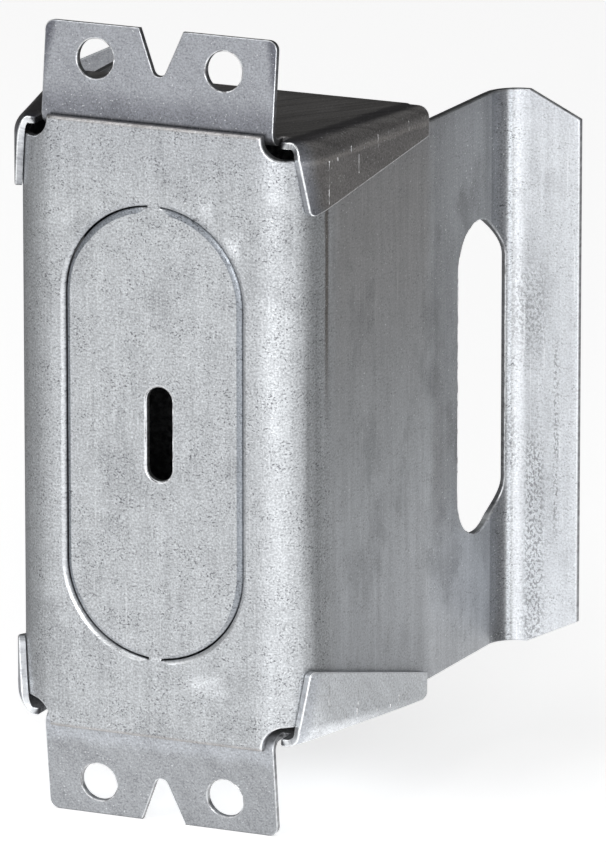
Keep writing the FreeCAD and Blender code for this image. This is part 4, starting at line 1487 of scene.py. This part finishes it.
@dataclass
class ClosingStrap(BentSheet):
    """One strap that closes top, back and bottom, with lapped side flaps and nailing flanges.

    Its flat pattern runs from the back plate's middle (0) up over the end panel to the flange's tip, and
    the same way down. Its face is the side that looks into the box and, on the flanges, at the form. Each
    crease is a depth in the concrete, and where a streak begins and ends below the side bend's foot.
    """

    body: InsertBody = field(kw_only=True)
    cap_front: float = 1.8
    cap_rear: float = 34.7
    cap_room: float = 1.9
    cap_bend: float = 2.4
    cap_bend_rear: float = 0.7
    sharpens: Pair = (6.0, 40.0)
    back_bend: float = 1.2
    back_gap: float = 1.6
    lap_gap: float = 0.1
    flap_front: float = 13.4
    flap_rear: float = 4.8
    flap_slant: float = 2.0
    flap_tip: float = 1.1
    relief_width: float = 43.2
    relief_depth: float = 5.4
    flange_width: float = 40.6
    flange_height: float = 15.1
    flange_lean: float = 7.0
    flange_bend: float = 1.2
    flange_gap: float = 0.35
    flange_corner: float = 1.6
    nail_bore: float = 6.35
    nail_spacing: float = 22.5
    nail_rise: float = 9.4
    notch_width: float = 7.75
    notch_depth: float = 7.5
    notch_root: float = 1.2
    wrap_share: float = 0.95
    # Each edge's third value brightens its rounding as rubbed zinc with a painted highlight, and its last
    # puts painted shade on its wall.
    flange_edge: EdgeDress = EdgeDress(0.2, 0.17, 0.85, 0.9)
    relief_edge: EdgeDress = EdgeDress(0.2, 0.17, 0.1, 1.0)
    plate_edge: EdgeDress = EdgeDress(0.2, 0.17, 0.4, 0.6)
    lap_edge: EdgeDress = EdgeDress(0.2, 0.17, 0.75, 1.0)
    bend_edge: EdgeDress = EdgeDress(0.2, 0.17, 2.4, 0.0)
    flap_edge: EdgeDress = EdgeDress(0.2, 0.17, 1.3, 0.2)
    nail_edge: EdgeDress = EdgeDress(0.3, 0.25)
    back_roll: Pair = (0.3, 0.26)
    # Where the painted shade on the strap's face fades out.
    inner_shade_fade: Pair = (72.0, 80.0)
    creases: tuple[Triple, ...] = ((7.4, 0.3, 7.4), (15.4, 1.2, 4.4), (20.6, -0.6, 1.6), (29.0, -0.8, 1.0))

    def __post_init__(self) -> None:
        """Lay out the strap's side view and its side bends."""
        t, lean = self.thickness, math.radians(self.flange_lean)
        self.beta = math.radians(self.body.wall_flare)
        self.half_panel = self.body.panel_height / 2
        self.roof = self.body.wall_height / 2 + self.cap_room + t
        reach = self.flange_bend + t
        self.peak = (
            t + self.flange_gap + self.flange_height * math.sin(lean),
            self.half_panel + self.flange_height * math.cos(lean),
        )
        pin_z = self.roof + self.flange_bend
        pin_y = self.peak[0] + reach * math.cos(lean) - (
            self.peak[1] - reach * math.sin(lean) - pin_z
        ) * math.tan(lean)
        turn = math.pi / 2 + lean
        back_out = self.back_bend + t
        end_z = pin_z + self.flange_bend * math.sin(math.pi - lean)
        top_z = self.peak[1] - t * math.sin(lean)
        self.side_view = BendLine((self.cap_rear + back_out, 0.0), math.pi / 2, [
            (self.roof - back_out, 0.0),
            (back_out * math.pi / 2, 1 / back_out),
            (self.cap_rear - pin_y, 0.0),
            (self.flange_bend * turn, -1 / self.flange_bend),
            ((top_z - end_z) / math.cos(lean), 0.0),
        ])
        self.roof_start = self.side_view.knots[2][0]
        self.flange_start = self.side_view.knots[4][0]
        a, rc = self.body.panel_flat / 2, self.body.corner_radius
        sb, cb = math.sin(self.beta), math.cos(self.beta)
        self.lap_line = a * cb + rc * (1 - sb)
        self.lap_face = self.lap_line + self.lap_gap
        self.wrap_start = (a + rc * cb) * sb + (rc - rc * sb) * cb
        self.back_half = (
            a + (rc - t) / cb + (self.cap_rear + self.back_bend - rc) * sb / cb - self.back_gap
        )

    def place(self, u: float, v: float, depth: float) -> Vector:
        """Where a point of the flat pattern lies.

        Args:
            u: Flat distance from the middle.
            v: Flat length from the back plate's middle.
            depth: Depth behind the face.

        Returns:
            The place.
        """
        under = self.thickness - depth
        x, s = abs(u), abs(v)
        if s >= self.roof_start and x > (self.relief_width + self.flange_width) / 4:
            px, py, pz = self._tray(x, self.cap_rear - (s - self.roof_start), under)
        else:
            py, pz = self.side_view.at(s, under)
            px = x
        return Vector((math.copysign(px, u), py, math.copysign(pz, v)))

    def painted_inner_shade(self, u: float, v: float, skin: Skin) -> float:
        """The strap's face gets painted shade except on the flanges."""
        return INNER_PAINTED_SHADE * (1 - smooth_step(*self.inner_shade_fade, abs(v))) if skin is Skin.FACE else 0.0

    def _side_bend(self, run: float) -> float:
        """Hollow radius of a side bend, which grows sharper along the wall to the rear."""
        return self.cap_bend + (self.cap_bend_rear - self.cap_bend) * smooth_step(*self.sharpens, run)

    def _wall_run(self, y: float) -> float:
        """Distance along the flared wall at which the flaps reach a depth in the concrete."""
        return (y + (self.lap_face + self.thickness) * math.sin(self.beta)) / math.cos(self.beta)

    def _tray(self, x: float, y: float, under: float) -> Triple:
        """A point of the end panel or, past the side bend, of a flap.

        Args:
            x: Distance from the middle in the flat end panel.
            y: Depth in the concrete in the flat end panel.
            under: Depth below the outside.

        Returns:
            The place, on the upper right.
        """
        sb, cb = math.sin(self.beta), math.cos(self.beta)
        w, run = x * cb - y * sb, x * sb + y * cb
        hollow = self._side_bend(run)
        fold, radius = self.lap_face - hollow, hollow + self.thickness
        hub_z = self.roof - radius
        past = w - fold
        if past <= 0:
            return x, y, self.roof - under
        angle = past / radius
        if angle < math.pi / 2:
            w = fold + (radius - under) * math.sin(angle)
            z = hub_z + (radius - under) * math.cos(angle)
        else:
            w = fold + radius - under
            z = hub_z - (past - radius * math.pi / 2)
        ahead = self.wrap_start - run
        if ahead > 0:
            share = self.wrap_share * math.sin(min(angle, math.pi / 2))
            corner = self.body.corner_radius
            reach = corner + w - self.lap_line
            turn = ahead / (corner + self.lap_gap)
            run += share * (self.wrap_start - reach * math.sin(turn) - run)
            w += share * reach * (math.cos(turn) - 1)
        return w * cb + run * sb, run * cb - w * sb, z

    def _flat_tray(self, past: float, y: float, under: float) -> Pair:
        """Find a point of the tray in the flat pattern.

        Args:
            past: Distance past the start of its side bend.
            y: Depth in the concrete.
            under: Depth below the outside.

        Returns:
            The flat point, on the upper right.
        """
        sb, cb = math.sin(self.beta), math.cos(self.beta)
        run = self._wall_run(y)
        for _ in range(3):
            hollow = self._side_bend(run)
            fold, radius = self.lap_face - hollow, hollow + self.thickness
            angle = min(max(past, 0.0) / radius, math.pi / 2)
            w = fold + (past if past < 0 else (radius - under) * math.sin(angle))
            run = (y + w * sb) / cb
        flat_w = fold + past
        x, y_flat = flat_w * cb + run * sb, run * cb - flat_w * sb
        return x, self.roof_start + self.cap_rear - y_flat

    def _past_at(self, y: float, z: float, under: float) -> float:
        """How far the tray has gone round its side bend where it has come down to a height.

        Args:
            y: Depth in the concrete.
            z: The height.
            under: Depth below the outside.

        Returns:
            Distance past the start of the side bend.
        """
        radius = self._side_bend(self._wall_run(y)) + self.thickness
        hub_z = self.roof - radius
        if z <= hub_z:
            return radius * math.pi / 2 + hub_z - z
        return radius * math.acos(min(1.0, (z - hub_z) / (radius - under)))

    def _flange_at(self, z: float, under: float) -> float:
        """Flat length at which the flange reaches a height."""
        return self.side_view.find(1, z, under, self.flange_start, self.side_view.length + 3.0)

    def _foot(self, y: float) -> float:
        """Distance from the start of a side bend to its foot, at a depth in the concrete."""
        return (self._side_bend(self._wall_run(y)) + self.thickness) * math.pi / 2

    def cut_edges(self) -> list[CutEdge]:
        """Outline and nail holes."""
        return [self._outline(), *self._nail_holes()]

    def punched_edges(self) -> list[CutEdge]:
        """Nail holes."""
        return self._nail_holes()

    def _flap(self) -> tuple[list[Pair], float, float]:
        """The free edge of a flap, seen from the side.

        Returns:
            Depths and heights from the rear over the tip to the front, and the heights of both ends.
        """
        tip_y, tip_z = self.cap_front + self.flap_slant, self.half_panel - self.flap_front
        start_z = self.half_panel - self.cap_bend - self.thickness
        end_y, end_z = self.cap_rear + 1, self.roof - self.flap_rear
        head = math.atan2(tip_z - start_z, tip_y - self.cap_front)
        rise = math.atan2(end_z - tip_z, end_y - tip_y)
        trim = self.flap_tip / math.tan((math.pi - (rise - head)) / 2)
        one = (tip_y - trim * math.cos(head), tip_z - trim * math.sin(head))
        two = (tip_y + trim * math.cos(rise), tip_z + trim * math.sin(rise))
        eye = (one[0] - self.flap_tip * math.sin(head), one[1] + self.flap_tip * math.cos(head))
        rear_z = tip_z + (self.cap_rear - tip_y) * math.tan(rise)
        line = [
            *run_of((self.cap_rear, rear_z), two, 2.0),
            *arc_of(eye, self.flap_tip, math.degrees(rise) - 90, math.degrees(head) - 90, 0.3),
            *run_of(one, (self.cap_front, start_z), 1.2),
        ]
        return line, rear_z, start_z

    def _quarter(self, under: float) -> list[Pair]:
        """A quarter of the outline on one face.

        Args:
            under: Depth of the face below the outside.

        Returns:
            Flat points from the back plate's middle to the notch's root.
        """
        flap, rear_z, start_z = self._flap()
        fold = self.lap_face - self._side_bend(self._wall_run(self.cap_rear))
        ear = self.back_half * math.cos(self.beta) - self.cap_rear * math.sin(self.beta) - fold
        rear_past = spread(ear, self._past_at(self.cap_rear, rear_z, under), 0.3)
        front_past = spread(self._past_at(self.cap_front, start_z, under), 0.0, 0.4)
        relief = self.relief_width / 2
        relief_end = relief, self.roof_start + self.cap_rear - self.cap_front
        leg_v = self.roof_start + self.cap_rear - self.relief_depth
        half, corner = self.flange_width / 2, self.flange_corner
        top = self.side_view.length
        bends = [s for s, _ in self.side_view.rows(2.0, 10.0) if leg_v < s < top - corner]
        return chain(
            [(self.back_half, s) for s, _ in self.side_view.rows(3.0, 10.0) if s <= self.roof_start],
            [self._flat_tray(p, self.cap_rear, under) for p in rear_past],
            [self._flat_tray(self._past_at(y, z, under), y, under) for y, z in flap],
            [self._flat_tray(p, self.cap_front, under) for p in front_past],
            run_of(self._flat_tray(0.0, self.cap_front, under), relief_end, 0.6),
            run_of(relief_end, (relief, leg_v), 0.6),
            run_of((relief, leg_v), (half, leg_v), 0.5),
            [(half, s) for s in bends],
            arc_of((half - corner, top - corner), corner, 0, 90, 0.3),
            self._notch(under),
        )

    def _notch(self, under: float) -> list[Pair]:
        """The flange's top edge from its corner to the notch, and the notch down to its root.

        Args:
            under: Depth of the face below the outside.

        Returns:
            The flat points.
        """
        vw, vr = self.notch_width / 2, self.notch_root
        top = self.side_view.length
        v_top = self.peak[1]
        v_mid = v_top - self.notch_depth + vr
        touch = math.atan2(v_top - v_mid, vw) - math.acos(vr / math.hypot(vw, v_top - v_mid))
        low = (vr * math.cos(touch), v_mid + vr * math.sin(touch))
        edge_z = self.side_view.at(top, under)[1]
        mouth = low[0] + (vw - low[0]) * (edge_z - low[1]) / (v_top - low[1])
        side = run_of((mouth, edge_z), low, 0.8)[1:]
        root = arc_of((0.0, v_mid), vr, math.degrees(touch), -90, 0.15)[1:]
        return [
            *run_of((self.flange_width / 2 - self.flange_corner, top), (mouth, top), 1.5),
            *[(x, self._flange_at(z, under)) for x, z in (*side, *root)],
        ]

    def _outline(self) -> CutEdge:
        """The strap's whole outer edge on both faces."""
        face, back = (four_fold(self._quarter(under)) for under in (self.thickness, 0.0))
        return CutEdge(face, back, [self._edge_dress(u, v) for u, v in face], self.back_roll)

    def _edge_dress(self, u: float, v: float) -> EdgeDress:
        """The outline at one of its points: flange, relief, back plate, lap or the front of a flap.

        Args:
            u: Flat distance from the middle.
            v: Flat length from the back plate's middle.

        Returns:
            The edge at this point.
        """
        s = abs(v)
        if s > self.side_view.knots[3][0] and abs(u) < self.flange_width / 2 + CLOSE:
            return self.flange_edge
        if abs(u) < self.relief_width / 2 + CLOSE:
            return self.relief_edge
        if s < self.roof_start:
            return self.plate_edge
        _, depth, height = self.place(u, v, self.thickness)
        tip_reach, bend_drop = 0.4, 5.5
        if depth > self.cap_front + self.flap_slant + tip_reach:
            return self.lap_edge
        return self.bend_edge if abs(height) > self.roof - bend_drop else self.flap_edge

    def _nail_holes(self) -> list[CutEdge]:
        """Two holes in each flange, bored the way the nails are driven.

        Returns:
            The right upper, right lower, left upper and left lower hole.
        """
        x, z = self.nail_spacing / 2, self.half_panel + self.nail_rise
        found: list[CutEdge] = []
        for side in (1, -1):
            ring = arc_of((side * x, z), self.nail_bore / 2, 360, 0, 0.35)[:-1]
            upper = [
                [(px, self._flange_at(pz, under)) for px, pz in ring] for under in (self.thickness, 0.0)
            ]
            lower = [[(u, -v) for u, v in reversed(loop)] for loop in upper]
            found.extend(CutEdge(*loops, [self.nail_edge] * len(ring)) for loops in (upper, lower))
        return found

    def _on_flaps(self, line: Sequence[Pair]) -> list[list[Vector]]:
        """Put a line on the outside of each flap.

        Args:
            line: Flat points on the upper right flap.

        Returns:
            The line on all four, right upper, right lower, left upper and left lower.
        """
        return [
            [self.place(side * u, end * s, self.thickness) for u, s in line]
            for side in (1, -1) for end in (1, -1)
        ]

    def side_bend_lines(self, gap: float) -> list[list[Vector]]:
        """Points along the foot of each side bend, on the outside of the flaps.

        Args:
            gap: Distance between two points.

        Returns:
            One line for each flap.
        """
        first, last = 8.0, self.cap_rear - 2.5
        return self._on_flaps([self._flat_tray(self._foot(y), y, 0.0) for y in spread(first, last, gap)])

    def crease_lines(self) -> list[list[Vector]]:
        """Upright streaks on the flaps where they were pressed round the body's corners.

        Returns:
            The lines.
        """
        found: list[list[Vector]] = []
        for y, first, last in self.creases:
            downs = spread(first, last, 0.4)
            found.extend(self._on_flaps([self._flat_tray(self._foot(y) + down, y, 0.0) for down in downs]))
        return found

    def stops(self) -> list[Pair]:
        """Rows along the strap's bends and along its side bends.

        Returns:
            The flat points.
        """
        found: list[Pair] = []
        sb, cb = math.sin(self.beta), math.cos(self.beta)
        for s, step in self.side_view.rows(2.8, 9.0):
            for u in spread(-self.back_half, self.back_half, max(0.8, step)):
                bent = u * cb > self.lap_face - self.cap_bend + self.cap_rear * sb
                if s < self.roof_start or not bent:
                    found.append((u, s))
        on_bend = [(k / 10, 0.8) for k in range(11)]
        on_flap = [(share, 2.4) for share in (1.42, 1.85, 2.28, 2.71)]
        for share, step in (*on_bend, *on_flap):
            for y in spread(-2.0, self.cap_rear, step):
                u, s = self._flat_tray(share * self._foot(y), y, 0.0)
                found.extend([(u, s), (-u, s)])
        return [*found, *[(u, -s) for u, s in found if s > 1e-6]]


class GrowthTree:
    """A geometry node tree with named inputs that grows small marks on lines or points."""

    def __init__(self, name: str, takes: dict[str, str]) -> None:
        """Make an empty tree.

        Args:
            name: Name of the tree.
            takes: Socket types of its inputs, by name.
        """
        tree = bpy.data.node_groups.new(name, "GeometryNodeTree")
        sockets = {"Geometry": "NodeSocketGeometry", **takes, "Finish": "NodeSocketMaterial"}
        for key, kind in sockets.items():
            tree.interface.new_socket(key, in_out="INPUT", socket_type=kind)
        tree.interface.new_socket("Geometry", in_out="OUTPUT", socket_type="NodeSocketGeometry")
        self.graph = Graph(tree)
        self.came = {s.name: s for s in self.graph.add("NodeGroupInput").outputs if s.name}

    def close(self, grown: bpy.types.NodeSocket) -> None:
        """End the tree: make the growth real and give it its finish.

        Args:
            grown: What the tree has grown.
        """
        g = self.graph
        smooth = g.add("GeometryNodeSetShadeSmooth", {"Geometry": grown}).outputs[0]
        real = g.add("GeometryNodeRealizeInstances", {"Geometry": smooth}).outputs[0]
        done = g.add("GeometryNodeSetMaterial", {"Geometry": real, "Material": self.came["Finish"]})
        g.add("NodeGroupOutput", {0: done.outputs[0]})

    def grow(self, name: str, lines: Sequence[Sequence[Vector]], values: dict) -> bpy.types.Object:
        """Run the tree on lines of points and keep the result as a plain mesh.

        Args:
            name: Name of the piece.
            lines: Points in millimetres, joined in order.
            values: The tree's inputs by name.

        Returns:
            The piece, at the origin and with no modifier.
        """
        points: list[Vector] = []
        edges: list[tuple[int, int]] = []
        for line in lines:
            edges.extend((len(points) + k, len(points) + k + 1) for k in range(len(line) - 1))
            points.extend(p * MM for p in line)
        mesh = bpy.data.meshes.new(name)
        mesh.from_pydata(points, edges, [])
        piece = bpy.data.objects.new(name, mesh)
        bpy.context.scene.collection.objects.link(piece)
        modifier = piece.modifiers.new(name, "NODES")
        modifier.node_group = self.graph.tree
        for item in self.graph.tree.interface.items_tree:
            if item.in_out == "INPUT" and item.name in values:
                modifier[item.identifier] = values[item.name]
        seen = bpy.context.evaluated_depsgraph_get()
        grown = bpy.data.meshes.new_from_object(piece.evaluated_get(seen))
        piece.modifiers.clear()
        piece.data = grown
        return piece


@dataclass
class TornZinc:
    """What the press tore up: ridges along punched edges and flakes along the strap's side bends.

    The ripples are how fine the ridges' wandering and swelling are, as scales of a noise.
    """

    bead: float = 0.075
    spacing: float = 0.22
    wander: float = 0.07
    ripples: Pair = (1400.0, 450.0)
    flake: Triple = (0.12, 0.12, 0.62)
    flake_sizes: Pair = (0.05, 1.3)
    scatter: Triple = (0.05, 0.9, 0.6)
    flake_gap: float = 1.9
    finish: BareZinc = BareZinc()
    seed: int = 5

    def build(self, body: InsertBody, strap: ClosingStrap) -> list[bpy.types.Object]:
        """Grow the ridges and the flakes.

        Args:
            body: The sheet of the body.
            strap: The sheet of the strap.

        Returns:
            The pieces, riding on the part.
        """
        ridge, flakes = self._ridge_tree(), self._flake_tree()
        strap_lines = [*self._loops(strap), *strap.crease_lines()]
        grown = (
            ("body_burrs", "galvanised_body", ridge, self._loops(body)),
            ("strap_burrs", "galvanised_strap", ridge, strap_lines),
            ("bend_flakes", "galvanised_strap", flakes, strap.side_bend_lines(self.flake_gap)),
        )
        values = {
            "Bead": self.bead * MM,
            "Spacing": self.spacing * MM,
            "Wander": self.wander * MM,
            "Seed": self.seed,
            "Flake": [k * MM for k in self.flake],
            "Scatter": [k * MM for k in self.scatter],
            "Finish": self.finish.material(),
        }
        pieces: list[bpy.types.Object] = []
        for name, slot, tree, lines in grown:
            piece = tree.grow(name, lines, values)
            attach(piece, "root")
            pieces.append(piece)
        return pieces

    @staticmethod
    def _loops(sheet: BentSheet) -> list[list[Vector]]:
        """Closed lines along the roundings of a sheet's punched edges."""
        lines = [SheetMesher(sheet).rim(edge) for edge in sheet.punched_edges()]
        return [[*line, line[0]] for line in lines]

    def _ridge_tree(self) -> GrowthTree:
        """A bead of uneven size that follows a line and wanders a little off it.

        Returns:
            The tree.
        """
        tree = GrowthTree("torn_ridge", {
            "Bead": "NodeSocketFloat",
            "Spacing": "NodeSocketFloat",
            "Wander": "NodeSocketFloat",
            "Seed": "NodeSocketInt",
        })
        g, came = tree.graph, tree.came
        rough, swell = (
            g.add("ShaderNodeTexNoise", {"W": came["Seed"], "Scale": scale}, noise_dimensions="4D").outputs
            for scale in self.ripples
        )
        line = g.add("GeometryNodeMeshToCurve", {"Mesh": came["Geometry"]}).outputs[0]
        even = g.add("GeometryNodeResampleCurve", {"Curve": line, "Length": came["Spacing"]}, mode="LENGTH")
        off = g.vector("SUBTRACT", {0: rough[1], 1: (0.5, 0.5, 0.5)})
        way = g.vector("SCALE", {0: off, "Scale": came["Wander"]})
        bent = g.add("GeometryNodeSetPosition", {"Geometry": even.outputs[0], "Offset": way})
        section = g.add("GeometryNodeCurvePrimitiveCircle", {"Resolution": 6, "Radius": came["Bead"]})
        tube = g.add("GeometryNodeCurveToMesh", {
            "Curve": bent.outputs[0],
            "Profile Curve": section.outputs[0],
            "Scale": g.remap(swell[0], 0.38, 0.66, 0.12, 1.5),
            "Fill Caps": True,
        })
        tree.close(tube.outputs[0])
        return tree

    def _flake_tree(self) -> GrowthTree:
        """Small upright flakes scattered about points.

        Returns:
            The tree.
        """
        tree = GrowthTree("torn_flakes", {
            "Flake": "NodeSocketVector",
            "Scatter": "NodeSocketVector",
            "Seed": "NodeSocketInt",
        })
        g, came = tree.graph, tree.came
        box = {0: (-1.0, -1.0, -1.0), 1: (1.0, 1.0, 1.0), "Seed": came["Seed"]}
        thrown = g.add("FunctionNodeRandomValue", box, data_type="FLOAT_VECTOR").outputs[0]
        way = g.vector("MULTIPLY", {0: thrown, 1: came["Scatter"]})
        moved = g.add("GeometryNodeSetPosition", {"Geometry": came["Geometry"], "Offset": way})
        least, most = self.flake_sizes
        sizes = {2: least, 3: most, "Seed": g.math("ADD", came["Seed"], 1)}
        share = g.add("FunctionNodeRandomValue", sizes, data_type="FLOAT").outputs[1]
        grain = g.add("GeometryNodeMeshIcoSphere", {"Radius": 1.0, "Subdivisions": 2})
        strewn = g.add("GeometryNodeInstanceOnPoints", {
            "Points": moved.outputs[0],
            "Instance": grain.outputs[0],
            "Scale": g.vector("SCALE", {0: came["Flake"], "Scale": share}),
        })
        tree.close(strewn.outputs[0])
        return tree


@dataclass(frozen=True)
class SkyStop:
    """Brightness of the surround in one direction, measured from the front towards the right.

    On the table it is given near the part and far from it, and then above the table.
    """

    azimuth: float
    near: float
    far: float
    above: float

    def place(self) -> float:
        """Where this direction lies on a radial ramp."""
        return (self.azimuth / 360.0 + 0.25) % 1.0


@dataclass(frozen=True)
class SoftBox:
    """A square soft light that looks at the part: place and size in metres, and power in watts."""

    name: str
    place: Triple
    size: float
    power: float

    def build(self) -> None:
        """Make the light."""
        data = bpy.data.lights.new(self.name, "AREA")
        data.size = self.size
        data.energy = self.power
        lamp = bpy.data.objects.new(self.name, data)
        bpy.context.scene.collection.objects.link(lamp)
        lamp.location = self.place
        lamp.rotation_euler = Vector(self.place).to_track_quat("Z", "Y").to_euler()


@dataclass
class Studio:
    """Floor, soft lights, bounce and the camera of the photograph.

    The halves are half sides of stage squares and the bounce's reach is where it turns from near to far, in
    metres. The sky's rise is the share of height over which the room's brightness gives way to its top's.
    """

    azimuth: float = 24.12
    elevation: float = 14.91
    distance: float = 1685.0
    target: Triple = (17.756, 18.99, -2.117)
    lens: float = 436.05
    sensor: float = 36.0
    floor_level: float = -65.8
    floor_half: float = 6.0
    floor_tone: Tone = (0.92, 0.92, 0.92)
    floor_glow: float = 0.58
    bounce_lift: float = 0.2
    bounce_half: float = 3.0
    bounce_middle: Pair = (5.0, 45.0)
    bounce_reach: Pair = (0.08, 0.42)
    sky_top: float = 0.28
    sky_rise: Pair = (0.35, 0.85)
    stops: tuple[SkyStop, ...] = (
        SkyStop(-150.0, 0.10, 0.08, 0.02),
        SkyStop(-100.0, 0.26, 0.26, 0.06),
        SkyStop(-70.0, 0.46, 0.46, 0.18),
        SkyStop(-24.0, 1.08, 1.08, 0.36),
        SkyStop(15.0, 0.95, 0.95, 0.36),
        SkyStop(42.0, 1.45, 1.45, 0.75),
        SkyStop(66.0, 1.15, 1.15, 0.50),
        SkyStop(90.0, 0.22, 0.20, 0.12),
        SkyStop(112.0, 0.20, 0.16, 0.08),
        SkyStop(135.0, 1.12, 0.30, 0.10),
        SkyStop(158.0, 0.25, 0.10, 0.04),
        SkyStop(-170.0, 0.10, 0.08, 0.02),
    )
    lamps: tuple[SoftBox, ...] = (
        SoftBox("overhead_softbox", (-0.25, -0.45, 1.25), 0.9, 3.2),
        SoftBox("front_softbox", (-0.75, -1.30, 0.70), 0.7, 3.5),
        SoftBox("right_softbox", (0.50, -1.35, 0.25), 0.6, 8.0),
    )

    def build(self) -> None:
        """Make the camera, the floor, the bounce and the lights."""
        self._camera()
        self._floor()
        self._bounce()
        self._surround()
        for lamp in self.lamps:
            lamp.build()
        bpy.context.scene.view_settings.view_transform = "Standard"

    def _camera(self) -> None:
        """A long lens at the photograph's angle."""
        a, e = math.radians(self.azimuth), math.radians(self.elevation)
        back = Vector((math.sin(a) * math.cos(e), -math.cos(a) * math.cos(e), math.sin(e)))
        data = bpy.data.cameras.new("camera")
        data.sensor_fit = "VERTICAL"
        data.sensor_height = self.sensor
        data.lens = self.lens
        data.clip_start, data.clip_end = 0.05, 100.0
        camera = bpy.data.objects.new("camera", data)
        bpy.context.scene.collection.objects.link(camera)
        camera.location = (Vector(self.target) + back * self.distance) * MM
        camera.rotation_euler = (-back).to_track_quat("-Z", "Y").to_euler()
        bpy.context.scene.camera = camera

    @staticmethod
    def _plane(name: str, level: float, half: float) -> bpy.types.Object:
        """A level square of the stage.

        Args:
            name: Name of the square and its material.
            level: Its height in millimetres.
            half: Half its side in metres.

        Returns:
            The square, with a new material.
        """
        mesh = bpy.data.meshes.new(name)
        z = level * MM
        corners = [(-half, -half, z), (half, -half, z), (half, half, z), (-half, half, z)]
        mesh.from_pydata(corners, [], [(0, 1, 2, 3)])
        plane = bpy.data.objects.new(name, mesh)
        bpy.context.scene.collection.objects.link(plane)
        made = bpy.data.materials.new(name)
        made.use_nodes = True
        mesh.materials.append(made)
        return plane

    def _floor(self) -> None:
        """A plain pale floor that shows to the camera and takes the shadow."""
        floor = self._plane("pale_floor", self.floor_level, self.floor_half)
        tree = floor.data.materials[0].node_tree
        Graph(tree).feed(tree.nodes["Principled BSDF"], {
            "Base Color": (*self.floor_tone, 1.0),
            "Roughness": 1.0,
            "Specular IOR Level": 0.0,
            "Emission Color": (1.0, 1.0, 1.0, 1.0),
            "Emission Strength": self.floor_glow,
        })
        floor.visible_glossy = False

    def _ramp(
        self, g: Graph, vector: bpy.types.NodeSocket, pick: Callable[[SkyStop], float]
    ) -> bpy.types.NodeSocket:
        """Brightness by direction round the part.

        Args:
            g: The nodes to add to.
            vector: Direction or place.
            pick: Which brightness of each stop to take.

        Returns:
            The brightness.
        """
        turn = g.add("ShaderNodeTexGradient", {0: vector}, gradient_type="RADIAL").outputs[1]
        ramp = g.add("ShaderNodeValToRGB", {0: turn})
        ramp.color_ramp.interpolation = "EASE"
        marks = sorted((s.place(), pick(s)) for s in self.stops)
        first, last = marks[0], marks[-1]
        gap = first[0] + 1.0 - last[0]
        edge = last[1] + (first[1] - last[1]) * (1.0 - last[0]) / gap
        marks = [(0.0, edge), *marks, (1.0, edge)]
        while len(ramp.color_ramp.elements) < len(marks):
            ramp.color_ramp.elements.new(0.5)
        # A ramp's colours end at 1, so it holds half the brightness.
        for element, (place, value) in zip(ramp.color_ramp.elements, marks):
            element.position = place
            element.color = (value / 2, value / 2, value / 2, 1.0)
        return g.math("MULTIPLY", ramp.outputs[0], 2.0)

    def _bounce(self) -> None:
        """Light thrown back from the table, seen only in the zinc."""
        sheet = self._plane("table_bounce", self.floor_level + self.bounce_lift, self.bounce_half)
        tree = sheet.data.materials[0].node_tree
        tree.nodes.clear()
        g = Graph(tree)
        where = g.add("ShaderNodeTexCoord").outputs["Object"]
        x, y = self.bounce_middle
        place = g.vector("SUBTRACT", {0: where, 1: (x * MM, y * MM, 0.0)})
        near = self._ramp(g, place, lambda s: s.near)
        far = self._ramp(g, place, lambda s: s.far)
        away = g.add("ShaderNodeVectorMath", {0: place}, operation="LENGTH").outputs["Value"]
        share = g.remap(away, *self.bounce_reach)
        bright = g.plus(near, share, g.math("SUBTRACT", far, near))
        glow = g.add("ShaderNodeEmission", {"Strength": bright})
        g.add("ShaderNodeOutputMaterial", {0: glow.outputs[0]})
        sheet.visible_camera = False
        sheet.visible_diffuse = False
        sheet.visible_shadow = False

    def _surround(self) -> None:
        """The room above the table, bright in front and dark behind."""
        world = bpy.data.worlds.new("surround")
        world.use_nodes = True
        g = Graph(world.node_tree)
        way = g.add("ShaderNodeTexCoord").outputs["Generated"]
        level = self._ramp(g, way, lambda s: s.above)
        height = g.add("ShaderNodeSeparateXYZ", {0: way}).outputs[2]
        top = g.remap(height, *self.sky_rise)
        bright = g.plus(level, top, g.math("SUBTRACT", self.sky_top, level))
        g.feed(world.node_tree.nodes["Background"], {"Color": (1.0, 1.0, 1.0, 1.0), "Strength": bright})
        bpy.context.scene.world = world


def main() -> None:
    """Build every piece and set up the studio."""
    logging.basicConfig(level=logging.INFO, format="%(name)s %(message)s")
    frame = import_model()
    LOG.info("solids to dress: %s", ", ".join(sorted(frame["nodes"])))
    effects = EffectLibrary()
    body = InsertBody("bent_body", "galvanised_body", "insert_body", BODY_FINISH)
    strap = ClosingStrap("bent_strap", "galvanised_strap", "closing_strap", STRAP_FINISH, body=body)
    for piece in (body.build(effects), strap.build(effects), *TornZinc().build(body, strap)):
        LOG.info("%s: %d triangles", piece.name, sum(len(p.vertices) - 2 for p in piece.data.polygons))
    Studio().build()
    bpy.context.view_layer.update()


if __name__ == "__main__":
    main()
